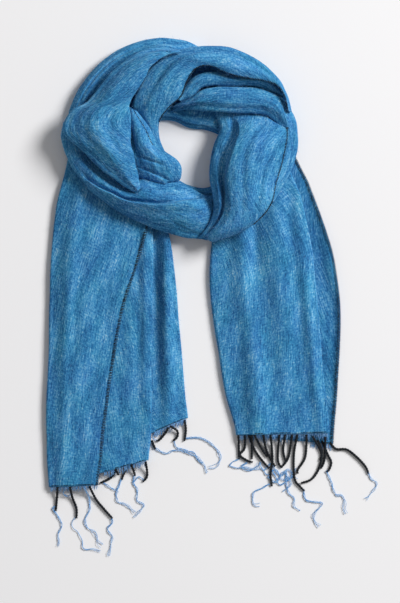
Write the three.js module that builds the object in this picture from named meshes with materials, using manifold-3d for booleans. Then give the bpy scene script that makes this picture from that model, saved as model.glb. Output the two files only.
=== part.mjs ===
// A long woven shawl, wound one and a half turns into a loop and laid flat with its two fringed tails
// side by side. Millimetres, +Z up, origin on the surface under the middle of the whole outline.
// Each visible stretch of the winding is a thin wall of cloth: a row of cross sections from its outer
// edge to its inner edge, rolled under where the cloth turns and plain where the selvedge shows.

import * as THREE from "three";
import * as BufferGeometryUtils from "three/addons/utils/BufferGeometryUtils.js";
import Module from "manifold-3d";

const wasm = await Module();
wasm.setup();

// Driving dimensions
const CLOTH = 2.0; // thickness of the fulled cloth
const CLEAR = 0.45; // gap left between stretches that press on each other
const FLAP = 12; // how far an edge that rolls under runs back below itself
const STRIP = 4; // depth of the hem strip that carries a fringe
const SEAM = 0.3; // gap between that strip and the cloth's edge
const CORD = 1.9; // radius of a twisted fringe cord
const THREAD = 0.8; // radius of the loose threads at a cord's end
const FLOOR = 0.4; // lowest point of a fringe strand above the surface
const REST = 0.2; // gap under the tails' lowest layer

const COLOURS = { cloth: 0x2d73af, shade: 0x1c4a7a, cord: 0x1b2027 };

const table = (columns, rows) =>
  rows.map((row) => Object.fromEntries(columns.map((name, i) => [name, row[i]])));

// Sections of a stretch, from one end to the other. ox, oy and ix, iy are the outer and inner edges in
// plan. foot is the underside of the outer roll, lip its top, crown the highest line between the
// edges, rim the top of the inner edge and heel the underside of its roll.
const SECTION = ["ox", "oy", "ix", "iy", "foot", "lip", "crown", "rim", "heel"];

// Soft folds of a stretch: a trough (or a ridge, where the depth is below zero) that runs through
// three points, each at a share s of the length and a share t of the width.
const FOLD = ["s0", "t0", "s1", "t1", "s2", "t2", "depth", "width"];

const STRETCHES = {
  second_turn_left: {
    outerRoll: 7, innerRoll: 5, stations: 17, crownAt: 0.45,
    sections: table(SECTION, [
      [-112, 155, -106, 162, 38, 47, 49, 47, 38],
      [-128, 164, -109, 176, 38, 50, 56, 52, 40],
      [-146, 178, -110, 194, 38, 50, 61, 54, 42],
      [-164, 191, -113, 209, 38, 50, 64, 55, 43],
      [-190, 217, -118, 227, 36, 50, 66, 56, 44],
      [-208, 232, -118, 244, 32, 49, 66, 57, 45],
      [-220, 247, -118, 260, 30, 46, 66, 57, 45],
      [-217, 265, -119, 275, 28, 44, 65, 58, 46],
      [-206, 280, -121, 284, 28, 44, 64, 58, 46],
      [-185, 292, -118, 293, 30, 45, 64, 59, 47],
      [-164, 317, -109, 308, 32, 46, 63, 60, 50],
      [-146, 337, -98, 325, 34, 48, 63, 60, 52],
      [-127, 353, -89, 341, 36, 50, 62, 60, 53],
      [-103, 367, -76, 353, 38, 52, 61, 60, 54],
      [-77, 373, -61, 362, 40, 54, 60, 59, 54],
      [-52, 371, -43, 365, 46, 55, 58, 57, 54],
    ]),
    folds: table(FOLD, [
      [0.12, 0.35, 0.32, 0.3, 0.6, 0.42, 4, 9],
      [0.2, 0.72, 0.38, 0.66, 0.5, 0.75, 3, 7],
      [0.55, 0.25, 0.7, 0.4, 0.95, 0.45, 3, 7],
    ]),
  },
  left_inner_fold: {
    outerRoll: 0, innerRoll: 7, stations: 10, crownAt: 0.55,
    sections: table(SECTION, [
      [-122, 284, -109, 278, 42, 42, 46, 42, 32],
      [-124, 266, -95, 259, 42, 42, 52, 43, 29],
      [-124, 250, -85, 242, 42, 42, 54, 42, 27],
      [-122, 233, -77, 226, 41, 41, 54, 41, 26],
      [-121, 218, -65, 217, 40, 40, 54, 40, 24],
      [-119, 203, -49, 205, 38, 38, 51, 38, 22],
      [-116, 190, -43, 193, 35, 35, 44, 34, 20],
      [-107, 178, -44, 179, 31, 31, 36, 29, 17],
      [-91, 167, -50, 172, 26, 26, 29, 25, 15],
    ]),
    folds: table(FOLD, [
      [0.2, 0.3, 0.45, 0.35, 0.75, 0.5, 3, 6],
    ]),
  },
  second_turn_top: {
    outerRoll: 8, innerRoll: 0, stations: 17, crownAt: 0.5,
    sections: table(SECTION, [
      [-100, 233, -68, 218, 8, 18, 22, 17, 17],
      [-115, 257, -76, 239, 14, 26, 31, 24, 24],
      [-119, 278, -76, 263, 20, 34, 40, 33, 33],
      [-115, 299, -61, 284, 22, 38, 48, 42, 42],
      [-103, 323, -44, 299, 22, 40, 52, 47, 47],
      [-88, 344, -35, 320, 22, 40, 53, 49, 49],
      [-64, 362, -25, 337, 22, 40, 53, 50, 50],
      [-34, 373, -13, 344, 21, 41, 53, 50, 50],
      [-7, 376, 4, 343, 20, 42, 53, 50, 50],
      [26, 374, 26, 333, 20, 42, 54, 50, 50],
      [59, 361, 55, 326, 20, 42, 54, 50, 50],
      [86, 343, 82, 322, 20, 42, 53, 50, 50],
      [104, 323, 100, 314, 26, 44, 50, 49, 49],
      [116, 299, 110, 299, 34, 44, 47, 46, 46],
      [121, 277, 115, 277, 34, 42, 44, 43, 43],
    ]),
    folds: table(FOLD, [
      [0.48, 0.3, 0.62, 0.32, 0.85, 0.4, 4, 7],
      [0.2, 0.6, 0.35, 0.62, 0.5, 0.7, 3, 6],
    ]),
  },
  first_turn_back: {
    outerRoll: 8, innerRoll: 0, stations: 13, crownAt: 0.3,
    sections: table(SECTION, [
      [-215, 243, -184, 237, 3, 13, 19, 14, 14],
      [-214, 263, -178, 257, 3, 15, 22, 14, 14],
      [-211, 284, -170, 278, 3, 18, 26, 14, 14],
      [-193, 320, -154, 299, 3, 21, 33, 14, 14],
      [-164, 353, -133, 323, 3, 22, 36, 14, 14],
      [-133, 374, -109, 338, 3, 22, 37, 14, 14],
      [-103, 385, -86, 347, 3, 21, 35, 14, 14],
      [-68, 389, -61, 350, 3, 19, 31, 12, 12],
      [-38, 385, -37, 347, 3, 16, 22, 10, 10],
      [-14, 374, -19, 338, 3, 12, 14, 8, 8],
      [5, 365, -4, 332, 3, 10, 11, 7, 7],
    ]),
    folds: table(FOLD, [
      [0.16, 0.54, 0.34, 0.52, 0.62, 0.46, 9, 8],
    ]),
  },
  under_fold: {
    outerRoll: 0, innerRoll: 4, stations: 11, crownAt: 0.5,
    sections: table(SECTION, [
      [-52, 299, -40, 287, 30, 30, 34, 31, 20],
      [-40, 313, -28, 296, 34, 34, 39, 36, 24],
      [-28, 326, -19, 308, 36, 36, 42, 38, 26],
      [-11, 335, -10, 314, 36, 36, 42, 39, 27],
      [8, 337, 8, 316, 36, 36, 42, 39, 27],
      [28, 331, 29, 315, 36, 36, 43, 38, 24],
      [47, 330, 48, 315, 36, 36, 43, 38, 24],
      [65, 330, 64, 314, 36, 36, 43, 37, 22],
      [80, 329, 76, 312, 36, 36, 42, 36, 20],
      [96, 322, 84, 306, 34, 34, 39, 33, 20],
      [112, 302, 94, 294, 30, 30, 34, 29, 18],
    ]),
    folds: [],
  },
  first_turn_side: {
    outerRoll: 7, innerRoll: 6, stations: 16, crownAt: 0.45,
    sections: table(SECTION, [
      [-52, 290, -59, 278, 14, 24, 28, 22, 12],
      [-31, 298, -34, 280, 22, 36, 42, 34, 22],
      [-14, 310, -11, 278, 26, 40, 49, 40, 27],
      [7, 314, 10, 277, 28, 42, 51, 42, 30],
      [37, 314, 38, 275, 28, 42, 52, 43, 31],
      [67, 313, 67, 274, 28, 42, 52, 43, 31],
      [86, 308, 82, 272, 26, 42, 51, 42, 30],
      [107, 299, 89, 268, 22, 40, 48, 40, 28],
      [121, 280, 98, 260, 18, 36, 43, 37, 26],
      [129, 262, 104, 250, 15, 32, 38, 34, 24],
      [131, 241, 103, 236, 11, 29, 36, 32, 18],
      [130, 221, 98, 218, 11, 27, 35, 31, 16],
      [124, 199, 92, 199, 11, 27, 34, 30, 16],
      [110, 169, 83, 173, 11, 27, 33, 30, 16],
      [94, 143, 70, 150, 11, 26, 31, 28, 15],
    ]),
    folds: table(FOLD, [
      [0.12, 0.4, 0.25, 0.48, 0.42, 0.4, 3, 6],
      [0.62, 0.35, 0.78, 0.4, 0.95, 0.35, 3, 5],
    ]),
  },
  front_turn_right: {
    outerRoll: 9, innerRoll: 0, stations: 13, crownAt: 0.5,
    sections: table(SECTION, [
      [5, 287, 105, 290, 12, 20, 26, 22, 22],
      [8, 271, 112, 268, 12, 25, 36, 32, 32],
      [13, 250, 115, 245, 12, 32, 52, 42, 42],
      [4, 227, 112, 224, 12, 36, 60, 45, 45],
      [-1, 202, 106, 197, 12, 38, 63, 45, 45],
      [-2, 176, 98, 170, 14, 40, 63, 44, 44],
      [2, 151, 92, 143, 20, 42, 61, 43, 43],
      [4, 133, 79, 122, 24, 42, 57, 41, 41],
      [-1, 116, 56, 103, 24, 40, 52, 38, 38],
      [-10, 101, 29, 91, 22, 36, 46, 34, 34],
      [-19, 90, 2, 83, 20, 31, 37, 30, 30],
    ]),
    folds: table(FOLD, [
      [0.05, 0.3, 0.5, 0.22, 0.98, 0.26, 10, 9],
      [0.3, 0.74, 0.5, 0.7, 0.8, 0.72, 3, 8],
    ]),
  },
  front_turn_bottom: {
    outerRoll: 8, innerRoll: 7, stations: 17, crownAt: 0.6,
    sections: table(SECTION, [
      [8, 88, 5, 153, 14, 20, 28, 22, 12],
      [-11, 87, -8, 154, 14, 22, 38, 24, 11],
      [-34, 88, -28, 164, 14, 24, 44, 25, 10],
      [-59, 94, -52, 173, 16, 28, 47, 26, 10],
      [-85, 103, -76, 173, 17, 31, 47, 29, 12],
      [-109, 113, -97, 179, 17, 33, 46, 30, 16],
      [-134, 125, -115, 176, 17, 34, 44, 30, 18],
      [-158, 142, -130, 181, 17, 34, 42, 29, 18],
      [-178, 157, -148, 194, 17, 34, 40, 28, 18],
      [-196, 178, -166, 209, 17, 33, 38, 27, 18],
      [-209, 196, -181, 226, 17, 32, 36, 26, 17],
      [-218, 215, -193, 239, 17, 31, 34, 26, 17],
      [-224, 239, -199, 251, 17, 29, 31, 26, 18],
      [-220, 262, -196, 265, 17, 26, 28, 25, 18],
    ]),
    folds: table(FOLD, [
      [0.1, 0.72, 0.28, 0.5, 0.66, 0.12, 8, 5],
      [0.12, 0.85, 0.22, 0.82, 0.32, 0.76, 3, 5],
      [0.35, 0.78, 0.5, 0.72, 0.62, 0.66, 3, 5],
    ]),
  },
};

// The stretches that lie on each one, which it makes room for
const LIES_UNDER = {
  left_inner_fold: ["second_turn_left", "front_turn_bottom"],
  second_turn_top: ["second_turn_left", "left_inner_fold"],
  first_turn_back: ["second_turn_left", "second_turn_top", "front_turn_bottom"],
  under_fold: ["second_turn_top", "first_turn_side"],
  first_turn_side: ["second_turn_top", "left_inner_fold"],
  front_turn_right: ["first_turn_side"],
  front_turn_bottom: ["second_turn_left", "front_turn_right"],
};

// The hidden turns: one rounded ring round the neck opening, flat below, with the layers' edges
// showing as low steps. inner and outer are its radii at each angle, height its top.
const RING_CENTRE = { x: -31, y: 218 };
const RING_STATIONS = 22;
const RING = table(["angle", "inner", "outer", "height"], [
  [0, 58, 130, 25],
  [20, 60, 144, 24],
  [36, 54, 150, 23],
  [60, 44, 142, 23],
  [90, 38, 138, 21],
  [120, 56, 150, 21],
  [150, 74, 156, 19],
  [180, 64, 148, 17],
  [195, 56, 124, 17],
  [210, 48, 104, 17],
  [240, 44, 92, 19],
  [270, 50, 104, 19],
  [300, 60, 96, 23],
  [330, 60, 104, 25],
  [345, 58, 116, 25],
]);
// The ring's profile from each of its edges inwards, as an inset and a share of its height
const RING_EDGE = table(["inset", "share"], [
  [1, 0],
  [0, 0.14],
  [1, 0.26],
  [4, 0.31],
  [3, 0.44],
  [6, 0.58],
  [12, 0.74],
  [24, 0.93],
]);

// Tails: one width of cloth folded over itself. Each column is the place across of a fold or edge, in
// the order in which the cloth passes through them, at a share t of the way down to the hem.
// ridges are soft long folds in the layers from a level up: each runs from place x0 at a share t0 of
// the way down to x1 at t1, and rises most halfway.
const RIDGE = ["level", "t0", "x0", "t1", "x1", "rise", "width"];
const TAILS = {
  left_tail: {
    stations: 10,
    edges: table(["name", "level", "top", "hem"], [
      ["selvedge", 4, 122, -281],
      ["left", 3, 212, -284],
      ["middle", 2, 124, -244],
      ["inner", 1, 180, -256],
      ["right", 0, 114, -181],
      ["last", 0, 158, -226],
    ]),
    across: table(["t", "selvedge", "left", "middle", "inner", "right", "last"], [
      [0, -92, -212, -86, -184, -66, -160],
      [0.15, -106, -230, -87, -200, -58, -176],
      [0.35, -131, -239, -88, -209, -52, -182],
      [0.55, -146, -241, -89, -211, -47, -186],
      [0.75, -157, -245, -89, -215, -42, -188],
      [0.9, -163, -245, -90, -215, -38, -186],
      [1, -169, -241, -94, -211, -35, -180],
    ]),
    droop: { side: "left", from: 3, fall: 5.6, reach: 26 },
    puff: 4,
    ridges: table(RIDGE, [
      [4, 0.05, -168, 0.9, -212, 2.5, 17],
      [3, 0.1, -116, 0.9, -124, 2, 12],
      [0, -0.2, -66, 1.1, -56, 6, 13],
    ]),
  },
  right_tail: {
    stations: 10,
    edges: table(["name", "level", "top", "hem"], [
      ["tucked", 1, 128, -204],
      ["right", 2, 200, -203],
      ["left", 0, 106, -206],
      ["back", 0, 226, -220],
    ]),
    across: table(["t", "tucked", "right", "left", "back"], [
      [0, 26, 116, 6, 122],
      [0.12, 24, 134, 1, 146],
      [0.3, 24, 150, 0, 175],
      [0.45, 30, 157, 5, 190],
      [0.6, 38, 162, 13, 194],
      [0.8, 50, 169, 23, 190],
      [1, 66, 178, 40, 184],
    ]),
    droop: { side: "right", from: 1, fall: 1.6, reach: 24 },
    puff: 5,
    ridges: table(RIDGE, [
      [1, -0.1, 24, 0.45, 28, 4, 12],
      [1, -0.1, 92, 0.85, 104, 6, 22],
      [1, 0.3, 48, 1.3, 80, 6, 16],
      [1, -0.1, 112, 1.2, 160, 2, 12],
    ]),
  },
};
const LEVEL = 3.4; // height of one folded layer of a tail at its top
const LEVEL_HEM = 2.9; // the same at its hem

// Fringe: hem strips along part of a tail's hem, and the strands that leave each one. heading and
// turn are degrees in plan, turned by the strand's end, sway how far it wanders to each side, and
// cord the share that is twisted cord before it comes apart into thread.
const STRAND = ["x", "heading", "turn", "sway", "length", "cord"];
const FRINGES = {
  fringe_left_front: {
    tail: "left_tail", edges: ["left", "selvedge"], level: 4, from: -240, to: -170,
    strands: table(STRAND, [
      [-230, -92, 10, 2, 86, 0.35],
      [-211, -68, 66, 3, 114, 0.38],
      [-185, -92, 34, 4, 92, 0],
      [-178, -52, -46, -4, 113, 0.4],
    ]),
  },
  fringe_left_middle: {
    tail: "left_tail", edges: ["left", "middle"], level: 3, from: -160, to: -96,
    strands: table(STRAND, [
      [-140, -126, -18, 0, 32, 1],
      [-114, -140, 128, 0, 98, 0.35],
      [-120, -72, -56, 4, 86, 0.2],
      [-98, -94, -40, 0, 30, 1],
    ]),
  },
  fringe_left_back: {
    tail: "left_tail", edges: ["inner", "right"], level: 1, from: -84, to: -37,
    strands: table(STRAND, [
      [-82, -88, 78, 3, 98, 0.22],
      [-72, -50, -124, 0, 46, 1],
      [-62, -32, -110, 0, 34, 1],
      [-52, -98, 52, -3, 80, 0.12],
      [-42, -96, -8, 0, 36, 1],
      [-39, -22, -124, 0, 90, 0],
    ]),
  },
  fringe_right_front: {
    tail: "right_tail", edges: ["left", "right"], level: 2, from: 42, to: 176,
    strands: table(STRAND, [
      [44, -88, 2, 0, 36, 1],
      [53, -102, 72, 2, 48, 0.3],
      [62, -90, -2, 0, 26, 0.8],
      [66, -70, 18, 1, 54, 0.9],
      [73, -58, 8, 2, 40, 0],
      [81, -112, 60, 2, 44, 0],
      [90, -90, 5, 1, 67, 0.8],
      [97, -62, 70, 2, 42, 0],
      [103, -95, -16, 0, 50, 0.9],
      [117, -88, -40, 0, 52, 0.9],
      [127, -94, 52, 6, 128, 0.25],
      [139, -84, -26, 0, 54, 0.8],
    ]),
  },
  fringe_right_back: {
    tail: "right_tail", edges: ["left", "back"], level: 0, from: 150, to: 183,
    strands: table(STRAND, [
      [160, -66, -86, 0, 46, 0.8],
      [170, -95, 0, 1, 28, 0.9],
      [174, -70, 6, 6, 104, 0.3],
      [181, -34, -52, 6, 124, 0.25],
    ]),
  },
};

// Catmull-Rom through the rows of a table, all columns alike, at a share of its length
function between(rows, share) {
  const place = THREE.MathUtils.clamp(share, 0, 1) * (rows.length - 1);
  const first = Math.min(Math.floor(place), rows.length - 2);
  const near = (i) => rows[THREE.MathUtils.clamp(i, 0, rows.length - 1)];
  const result = {};
  for (const column of Object.keys(rows[0])) {
    const [a, b, c, d] = [-1, 0, 1, 2].map((step) => near(first + step)[column]);
    const u = place - first;
    const slopes = (c - a) / 2 * u + (a - 2.5 * b + 2 * c - 0.5 * d) * u * u;
    result[column] = b + slopes + (1.5 * (b - c) + 0.5 * (d - a)) * u * u * u;
  }
  return result;
}

// Parabola through the three (s, t) points of a fold: its place across at a share s of the length
function foldPlace(fold, s) {
  const { s0, t0, s1, t1, s2, t2 } = fold;
  return t0 * ((s - s1) * (s - s2)) / ((s0 - s1) * (s0 - s2)) +
    t1 * ((s - s0) * (s - s2)) / ((s1 - s0) * (s1 - s2)) +
    t2 * ((s - s0) * (s - s1)) / ((s2 - s0) * (s2 - s1));
}

// How deep the folds press a stretch at a share s of its length and a share t of its width
function foldDepth(folds, s, t, width) {
  let depth = 0;
  for (const fold of folds) {
    if (s <= fold.s0 || s >= fold.s2) continue;
    const fade = Math.sin(Math.PI * (s - fold.s0) / (fold.s2 - fold.s0)) ** 0.7;
    const away = (t - foldPlace(fold, s)) * width / fold.width;
    depth += fold.depth * fade * Math.exp(-away * away);
  }
  return depth;
}

// Height of a stretch between its rolls: it rises to the crown and sinks to the inner edge
function archHeight(section, t, crownAt) {
  const rise = section.crown - section.lip;
  const sink = section.crown - section.rim;
  return t < crownAt
    ? section.lip + rise * Math.sin(Math.PI / 2 * t / crownAt)
    : section.rim + sink * Math.cos(Math.PI / 2 * (t - crownAt) / (1 - crownAt));
}

const ROLL_ANGLES = [-90, -25, 40];
const TOP_STEPS = 7;

// Cross section of a stretch as distances from the outer edge and heights
function crossSection(stretch, section, s) {
  const width = Math.hypot(section.ix - section.ox, section.iy - section.oy);
  const outerRoll = Math.min(stretch.outerRoll, width * 0.4);
  const innerRoll = Math.min(stretch.innerRoll, width * 0.4);
  const flap = Math.min(FLAP, (width - outerRoll - innerRoll) * 0.35);
  const points = [];
  const roll = (low, high, radius, from, side) => {
    const tall = (high - low) / 2;
    return ROLL_ANGLES.map((degrees) => {
      const angle = THREE.MathUtils.degToRad(degrees);
      return { w: from + side * radius * (1 - Math.cos(angle)), z: low + tall + tall * Math.sin(angle) };
    });
  };
  if (outerRoll > 0) {
    points.push({ w: outerRoll + flap, z: section.foot });
    points.push(...roll(section.foot, section.lip, outerRoll, 0, 1));
  }
  for (let k = 0; k <= TOP_STEPS; k++) {
    const t = k / TOP_STEPS;
    const w = outerRoll + (width - outerRoll - innerRoll) * t;
    const dip = foldDepth(stretch.folds, s, w / width, width);
    points.push({ w, z: archHeight(section, t, stretch.crownAt) - dip });
  }
  if (innerRoll > 0) {
    points.push(...roll(section.heel, section.rim, innerRoll, width, -1).reverse());
    points.push({ w: width - innerRoll - flap, z: section.heel });
  }
  return points;
}

// Grid of points on the outside of a stretch: along[i][j] at station i, across j
function stretchSurface(stretch) {
  const along = [];
  for (let i = 0; i < stretch.stations; i++) {
    const s = i / (stretch.stations - 1);
    const section = between(stretch.sections, s);
    const outer = new THREE.Vector3(section.ox, section.oy, 0);
    const across = new THREE.Vector3(section.ix, section.iy, 0).sub(outer).normalize();
    along.push(crossSection(stretch, section, s).map(({ w, z }) =>
      outer.clone().addScaledVector(across, w).setZ(z)));
  }
  return along;
}

const neighbours = (grid, i, j) => [
  grid[Math.max(i - 1, 0)][j], grid[Math.min(i + 1, grid.length - 1)][j],
  grid[i][Math.max(j - 1, 0)], grid[i][Math.min(j + 1, grid[0].length - 1)],
];

function surfaceNormals(grid) {
  return grid.map((row, i) => row.map((point, j) => {
    const [back, ahead, left, right] = neighbours(grid, i, j);
    const lengthwise = ahead.clone().sub(back);
    return lengthwise.cross(right.clone().sub(left)).normalize();
  }));
}

// The grid with its border pushed outwards in its own surface
function widened(grid, grow) {
  const last = { i: grid.length - 1, j: grid[0].length - 1 };
  return grid.map((row, i) => row.map((point, j) => {
    const moved = point.clone();
    const push = (inner) => moved.add(point.clone().sub(inner).setLength(grow));
    if (grow > 0 && i === 0) push(grid[1][j]);
    if (grow > 0 && i === last.i) push(grid[i - 1][j]);
    if (grow > 0 && j === 0) push(row[1]);
    if (grow > 0 && j === last.j) push(row[j - 1]);
    return moved;
  }));
}

// Closed wall between two offsets of a grid, as positions and triangles
function wall(grid, upper, lower, grow = 0) {
  const wide = widened(grid, grow);
  const normals = surfaceNormals(wide);
  const rows = wide.length;
  const columns = wide[0].length;
  const positions = [];
  for (const offset of [upper + grow, lower - grow]) {
    wide.forEach((row, i) => row.forEach((point, j) => {
      const moved = point.clone().addScaledVector(normals[i][j], offset);
      positions.push(moved.x, moved.y, moved.z);
    }));
  }
  const id = (side, i, j) => side * rows * columns + i * columns + j;
  const triangles = [];
  const quad = (a, b, c, d) => triangles.push(a, b, c, a, c, d);
  for (let i = 0; i < rows - 1; i++) {
    for (let j = 0; j < columns - 1; j++) {
      quad(id(0, i, j), id(0, i + 1, j), id(0, i + 1, j + 1), id(0, i, j + 1));
      quad(id(1, i, j), id(1, i, j + 1), id(1, i + 1, j + 1), id(1, i + 1, j));
    }
    quad(id(0, i, 0), id(1, i, 0), id(1, i + 1, 0), id(0, i + 1, 0));
    const j = columns - 1;
    quad(id(0, i, j), id(0, i + 1, j), id(1, i + 1, j), id(1, i, j));
  }
  for (let j = 0; j < columns - 1; j++) {
    quad(id(0, 0, j), id(0, 0, j + 1), id(1, 0, j + 1), id(1, 0, j));
    const i = rows - 1;
    quad(id(0, i, j), id(1, i, j), id(1, i, j + 1), id(0, i, j + 1));
  }
  return solid(positions, triangles);
}

function signedVolume(positions, triangles) {
  const point = (index) => new THREE.Vector3().fromArray(positions, index * 3);
  let volume = 0;
  for (let k = 0; k < triangles.length; k += 3) {
    const [a, b, c] = [0, 1, 2].map((step) => point(triangles[k + step]));
    volume += a.dot(b.cross(c));
  }
  return volume;
}

// A closed body for cutting and joining, with its faces pointing out
function solid(positions, triangles) {
  const indices = [...triangles];
  if (signedVolume(positions, triangles) < 0) {
    for (let k = 0; k < indices.length; k += 3) {
      [indices[k + 1], indices[k + 2]] = [indices[k + 2], indices[k + 1]];
    }
  }
  return new wasm.Manifold(new wasm.Mesh({
    numProp: 3, vertProperties: new Float32Array(positions), triVerts: new Uint32Array(indices),
  }));
}

// Of the bodies that a cut leaves, the one that holds the most cloth
function largest(body) {
  return body.decompose().reduce((best, piece) => (piece.volume() > best.volume() ? piece : best));
}

// Closed tube or ring: loops of points joined one to the next
function lofted(loops, closed) {
  const count = loops[0].length;
  const positions = loops.flat().flatMap((point) => [point.x, point.y, point.z]);
  const triangles = [];
  const joints = closed ? loops.length : loops.length - 1;
  for (let i = 0; i < joints; i++) {
    const next = (i + 1) % loops.length;
    for (let k = 0; k < count; k++) {
      const [a, b] = [i * count + k, i * count + (k + 1) % count];
      const [c, d] = [next * count + (k + 1) % count, next * count + k];
      triangles.push(a, b, c, a, c, d);
    }
  }
  if (!closed) {
    const end = (loops.length - 1) * count;
    for (let k = 1; k < count - 1; k++) {
      triangles.push(0, k + 1, k, end, end + k, end + k + 1);
    }
  }
  return solid(positions, triangles);
}

// The hidden turns as one ring
function hiddenTurns() {
  const loops = [];
  const wrapped = [...RING, { ...RING[0], angle: 360 }];
  for (let i = 0; i < RING_STATIONS; i++) {
    const row = between(wrapped, i / RING_STATIONS);
    const angle = THREE.MathUtils.degToRad(row.angle);
    const at = (radius, z) => new THREE.Vector3(
      RING_CENTRE.x + radius * Math.cos(angle), RING_CENTRE.y + radius * Math.sin(angle), z);
    const inside = RING_EDGE.map((edge) => at(row.inner + edge.inset, row.height * edge.share));
    const outside = RING_EDGE.map((edge) => at(row.outer - edge.inset, row.height * edge.share));
    loops.push([...inside, at((row.inner + row.outer) / 2, row.height), ...outside.reverse()]);
  }
  return lofted(loops, true);
}

const smooth = (value) => THREE.MathUtils.smoothstep(value, 0, 1);

function ridgeRise(ridges, level, t, x) {
  let rise = 0;
  for (const ridge of ridges) {
    const u = (t - ridge.t0) / (ridge.t1 - ridge.t0);
    if (level < ridge.level || u <= 0 || u >= 1) continue;
    const away = (x - THREE.MathUtils.lerp(ridge.x0, ridge.x1, u)) / ridge.width;
    rise += ridge.rise * Math.sin(Math.PI * u) * Math.exp(-away * away);
  }
  return rise;
}

const PUFF_LOSS = 0.6; // share of a tail's puffed height that is gone at its hem

// Middle line of a tail's cloth at a station: layers joined by round folds
function tailShape(tail, t) {
  const places = placeAcross(tail, t);
  const step = THREE.MathUtils.lerp(LEVEL, LEVEL_HEM, t);
  const edgeY = (edge) => THREE.MathUtils.lerp(edge.top, edge.hem, t);
  const { side, from, fall, reach } = tail.droop;
  const foldX = places[side];
  const low = Math.min(...tail.edges.map((edge) => places[edge.name]));
  const high = Math.max(...tail.edges.map((edge) => places[edge.name]));
  const height = (level, x) => {
    const droop = level >= from ? fall * (1 - smooth(Math.abs(x - foldX) / reach)) : 0;
    const middle = Math.sin(Math.PI * THREE.MathUtils.clamp((x - low) / (high - low), 0, 1));
    const puff = level >= from ? tail.puff * middle * (1 - PUFF_LOSS * t) * (level / tail.edges.length) : 0;
    return CLOTH / 2 + REST + step * level - droop + puff + ridgeRise(tail.ridges, level, t, x);
  };
  return { places, edgeY, height };
}

function placeAcross(tail, t) {
  const rows = tail.across;
  let index = 0;
  while (index < rows.length - 2 && rows[index + 1].t < t) index++;
  const share = (t - rows[index].t) / (rows[index + 1].t - rows[index].t);
  return between(rows, (index + share) / (rows.length - 1));
}

const LAYER_STEPS = 7;
const FOLD_ANGLES = [-60, 0, 60];

function tailSurface(tail) {
  const grid = [];
  for (let i = 0; i < tail.stations; i++) {
    const t = i / (tail.stations - 1);
    const { places, edgeY, height } = tailShape(tail, t);
    const row = [];
    for (let k = 0; k < tail.edges.length - 1; k++) {
      const [start, end] = [tail.edges[k], tail.edges[k + 1]];
      const level = k === 0 ? startLevel(tail) : start.level;
      const [x0, x1] = [places[start.name], places[end.name]];
      const turn = Math.sign(x1 - x0) * foldRadius(tail, k + 1);
      const back = Math.sign(x1 - x0) * foldRadius(tail, k);
      for (let step = 0; step <= LAYER_STEPS; step++) {
        const share = step / LAYER_STEPS;
        const x = THREE.MathUtils.lerp(x0 + back, x1 - turn, share);
        const y = THREE.MathUtils.lerp(edgeY(start), edgeY(end), share);
        row.push(new THREE.Vector3(x, y, height(level, x)));
      }
      if (k < tail.edges.length - 2) {
        const [top, bottom] = [height(level, x1 - turn), height(end.level, x1 - turn)];
        for (const degrees of FOLD_ANGLES) {
          const angle = THREE.MathUtils.degToRad(degrees);
          const x = x1 - turn + turn * Math.cos(angle);
          row.push(new THREE.Vector3(x, edgeY(end), (top + bottom) / 2 - (top - bottom) / 2 * Math.sin(angle)));
        }
      }
    }
    grid.push(row);
  }
  return grid;
}

const startLevel = (tail) => (tail.edges.length > 4 ? tail.edges[0].level : 1);
const foldRadius = (tail, k) => (k === 0 || k === tail.edges.length - 1 ? 0 : 2.5);

const STRIP_STEPS = 8;
const STRIP_GAP = SEAM + 0.2; // gap between the strip and the cloth's edge

// Strip along part of a hem, just past the cloth's edge
function hemStrip(fringe, shape) {
  const tail = TAILS[fringe.tail];
  const [first, second] = fringe.edges.map((name) => tail.edges.find((edge) => edge.name === name));
  const loops = [];
  for (let k = 0; k <= STRIP_STEPS; k++) {
    const x = THREE.MathUtils.lerp(fringe.from, fringe.to, k / STRIP_STEPS);
    const share = (x - shape.places[first.name]) / (shape.places[second.name] - shape.places[first.name]);
    const y = THREE.MathUtils.lerp(first.hem, second.hem, share) - STRIP_GAP;
    const z = shape.height(fringe.level, x);
    const corner = (depth, side) => new THREE.Vector3(x, y - depth, z + side * CLOTH / 2);
    loops.push([corner(0, -1), corner(STRIP, -1), corner(STRIP, 1), corner(0, 1)]);
  }
  return { body: lofted(loops, false), loops };
}

const STRAND_STEPS = 10;
const STRAND_SIDES = 3;
const STRAND_FALL = 14; // distance over which a strand comes down from its hem

// One strand from its root in the strip down to the surface and along it
function strand(row, root) {
  const loops = [];
  const step = row.length / STRAND_STEPS;
  const place = root.clone();
  for (let k = 0; k <= STRAND_STEPS; k++) {
    const u = k / STRAND_STEPS;
    const heading = THREE.MathUtils.degToRad(row.heading + row.turn * u);
    const ahead = new THREE.Vector3(Math.cos(heading), Math.sin(heading), 0);
    const aside = new THREE.Vector3(-ahead.y, ahead.x, 0);
    const radius = u <= row.cord ? CORD : THREAD;
    const rest = FLOOR + radius;
    const fall = Math.exp(-((u * row.length / STRAND_FALL) ** 2));
    const centre = place.clone().addScaledVector(aside, row.sway * Math.sin(2 * Math.PI * u));
    centre.z = rest + Math.max(root.z - rest, 0) * fall;
    loops.push(Array.from({ length: STRAND_SIDES }, (_, side) => {
      const angle = Math.PI / 2 + 2 * Math.PI * side / STRAND_SIDES;
      const point = centre.clone().addScaledVector(aside, radius * Math.cos(angle));
      return point.setZ(centre.z + radius * Math.sin(angle));
    }));
    place.addScaledVector(ahead, step);
  }
  return lofted(loops, false);
}

function fringeBody(fringe) {
  const shape = tailShape(TAILS[fringe.tail], 1);
  const { body, loops } = hemStrip(fringe, shape);
  return fringe.strands.reduce((joined, row) => {
    const share = (row.x - fringe.from) / (fringe.to - fringe.from);
    const near = loops[Math.round(share * (loops.length - 1))];
    const root = near[1].clone().setX(row.x);
    root.y += STRIP / 2;
    root.z = shape.height(fringe.level, row.x);
    return joined.add(strand(row, root));
  }, body);
}

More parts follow.
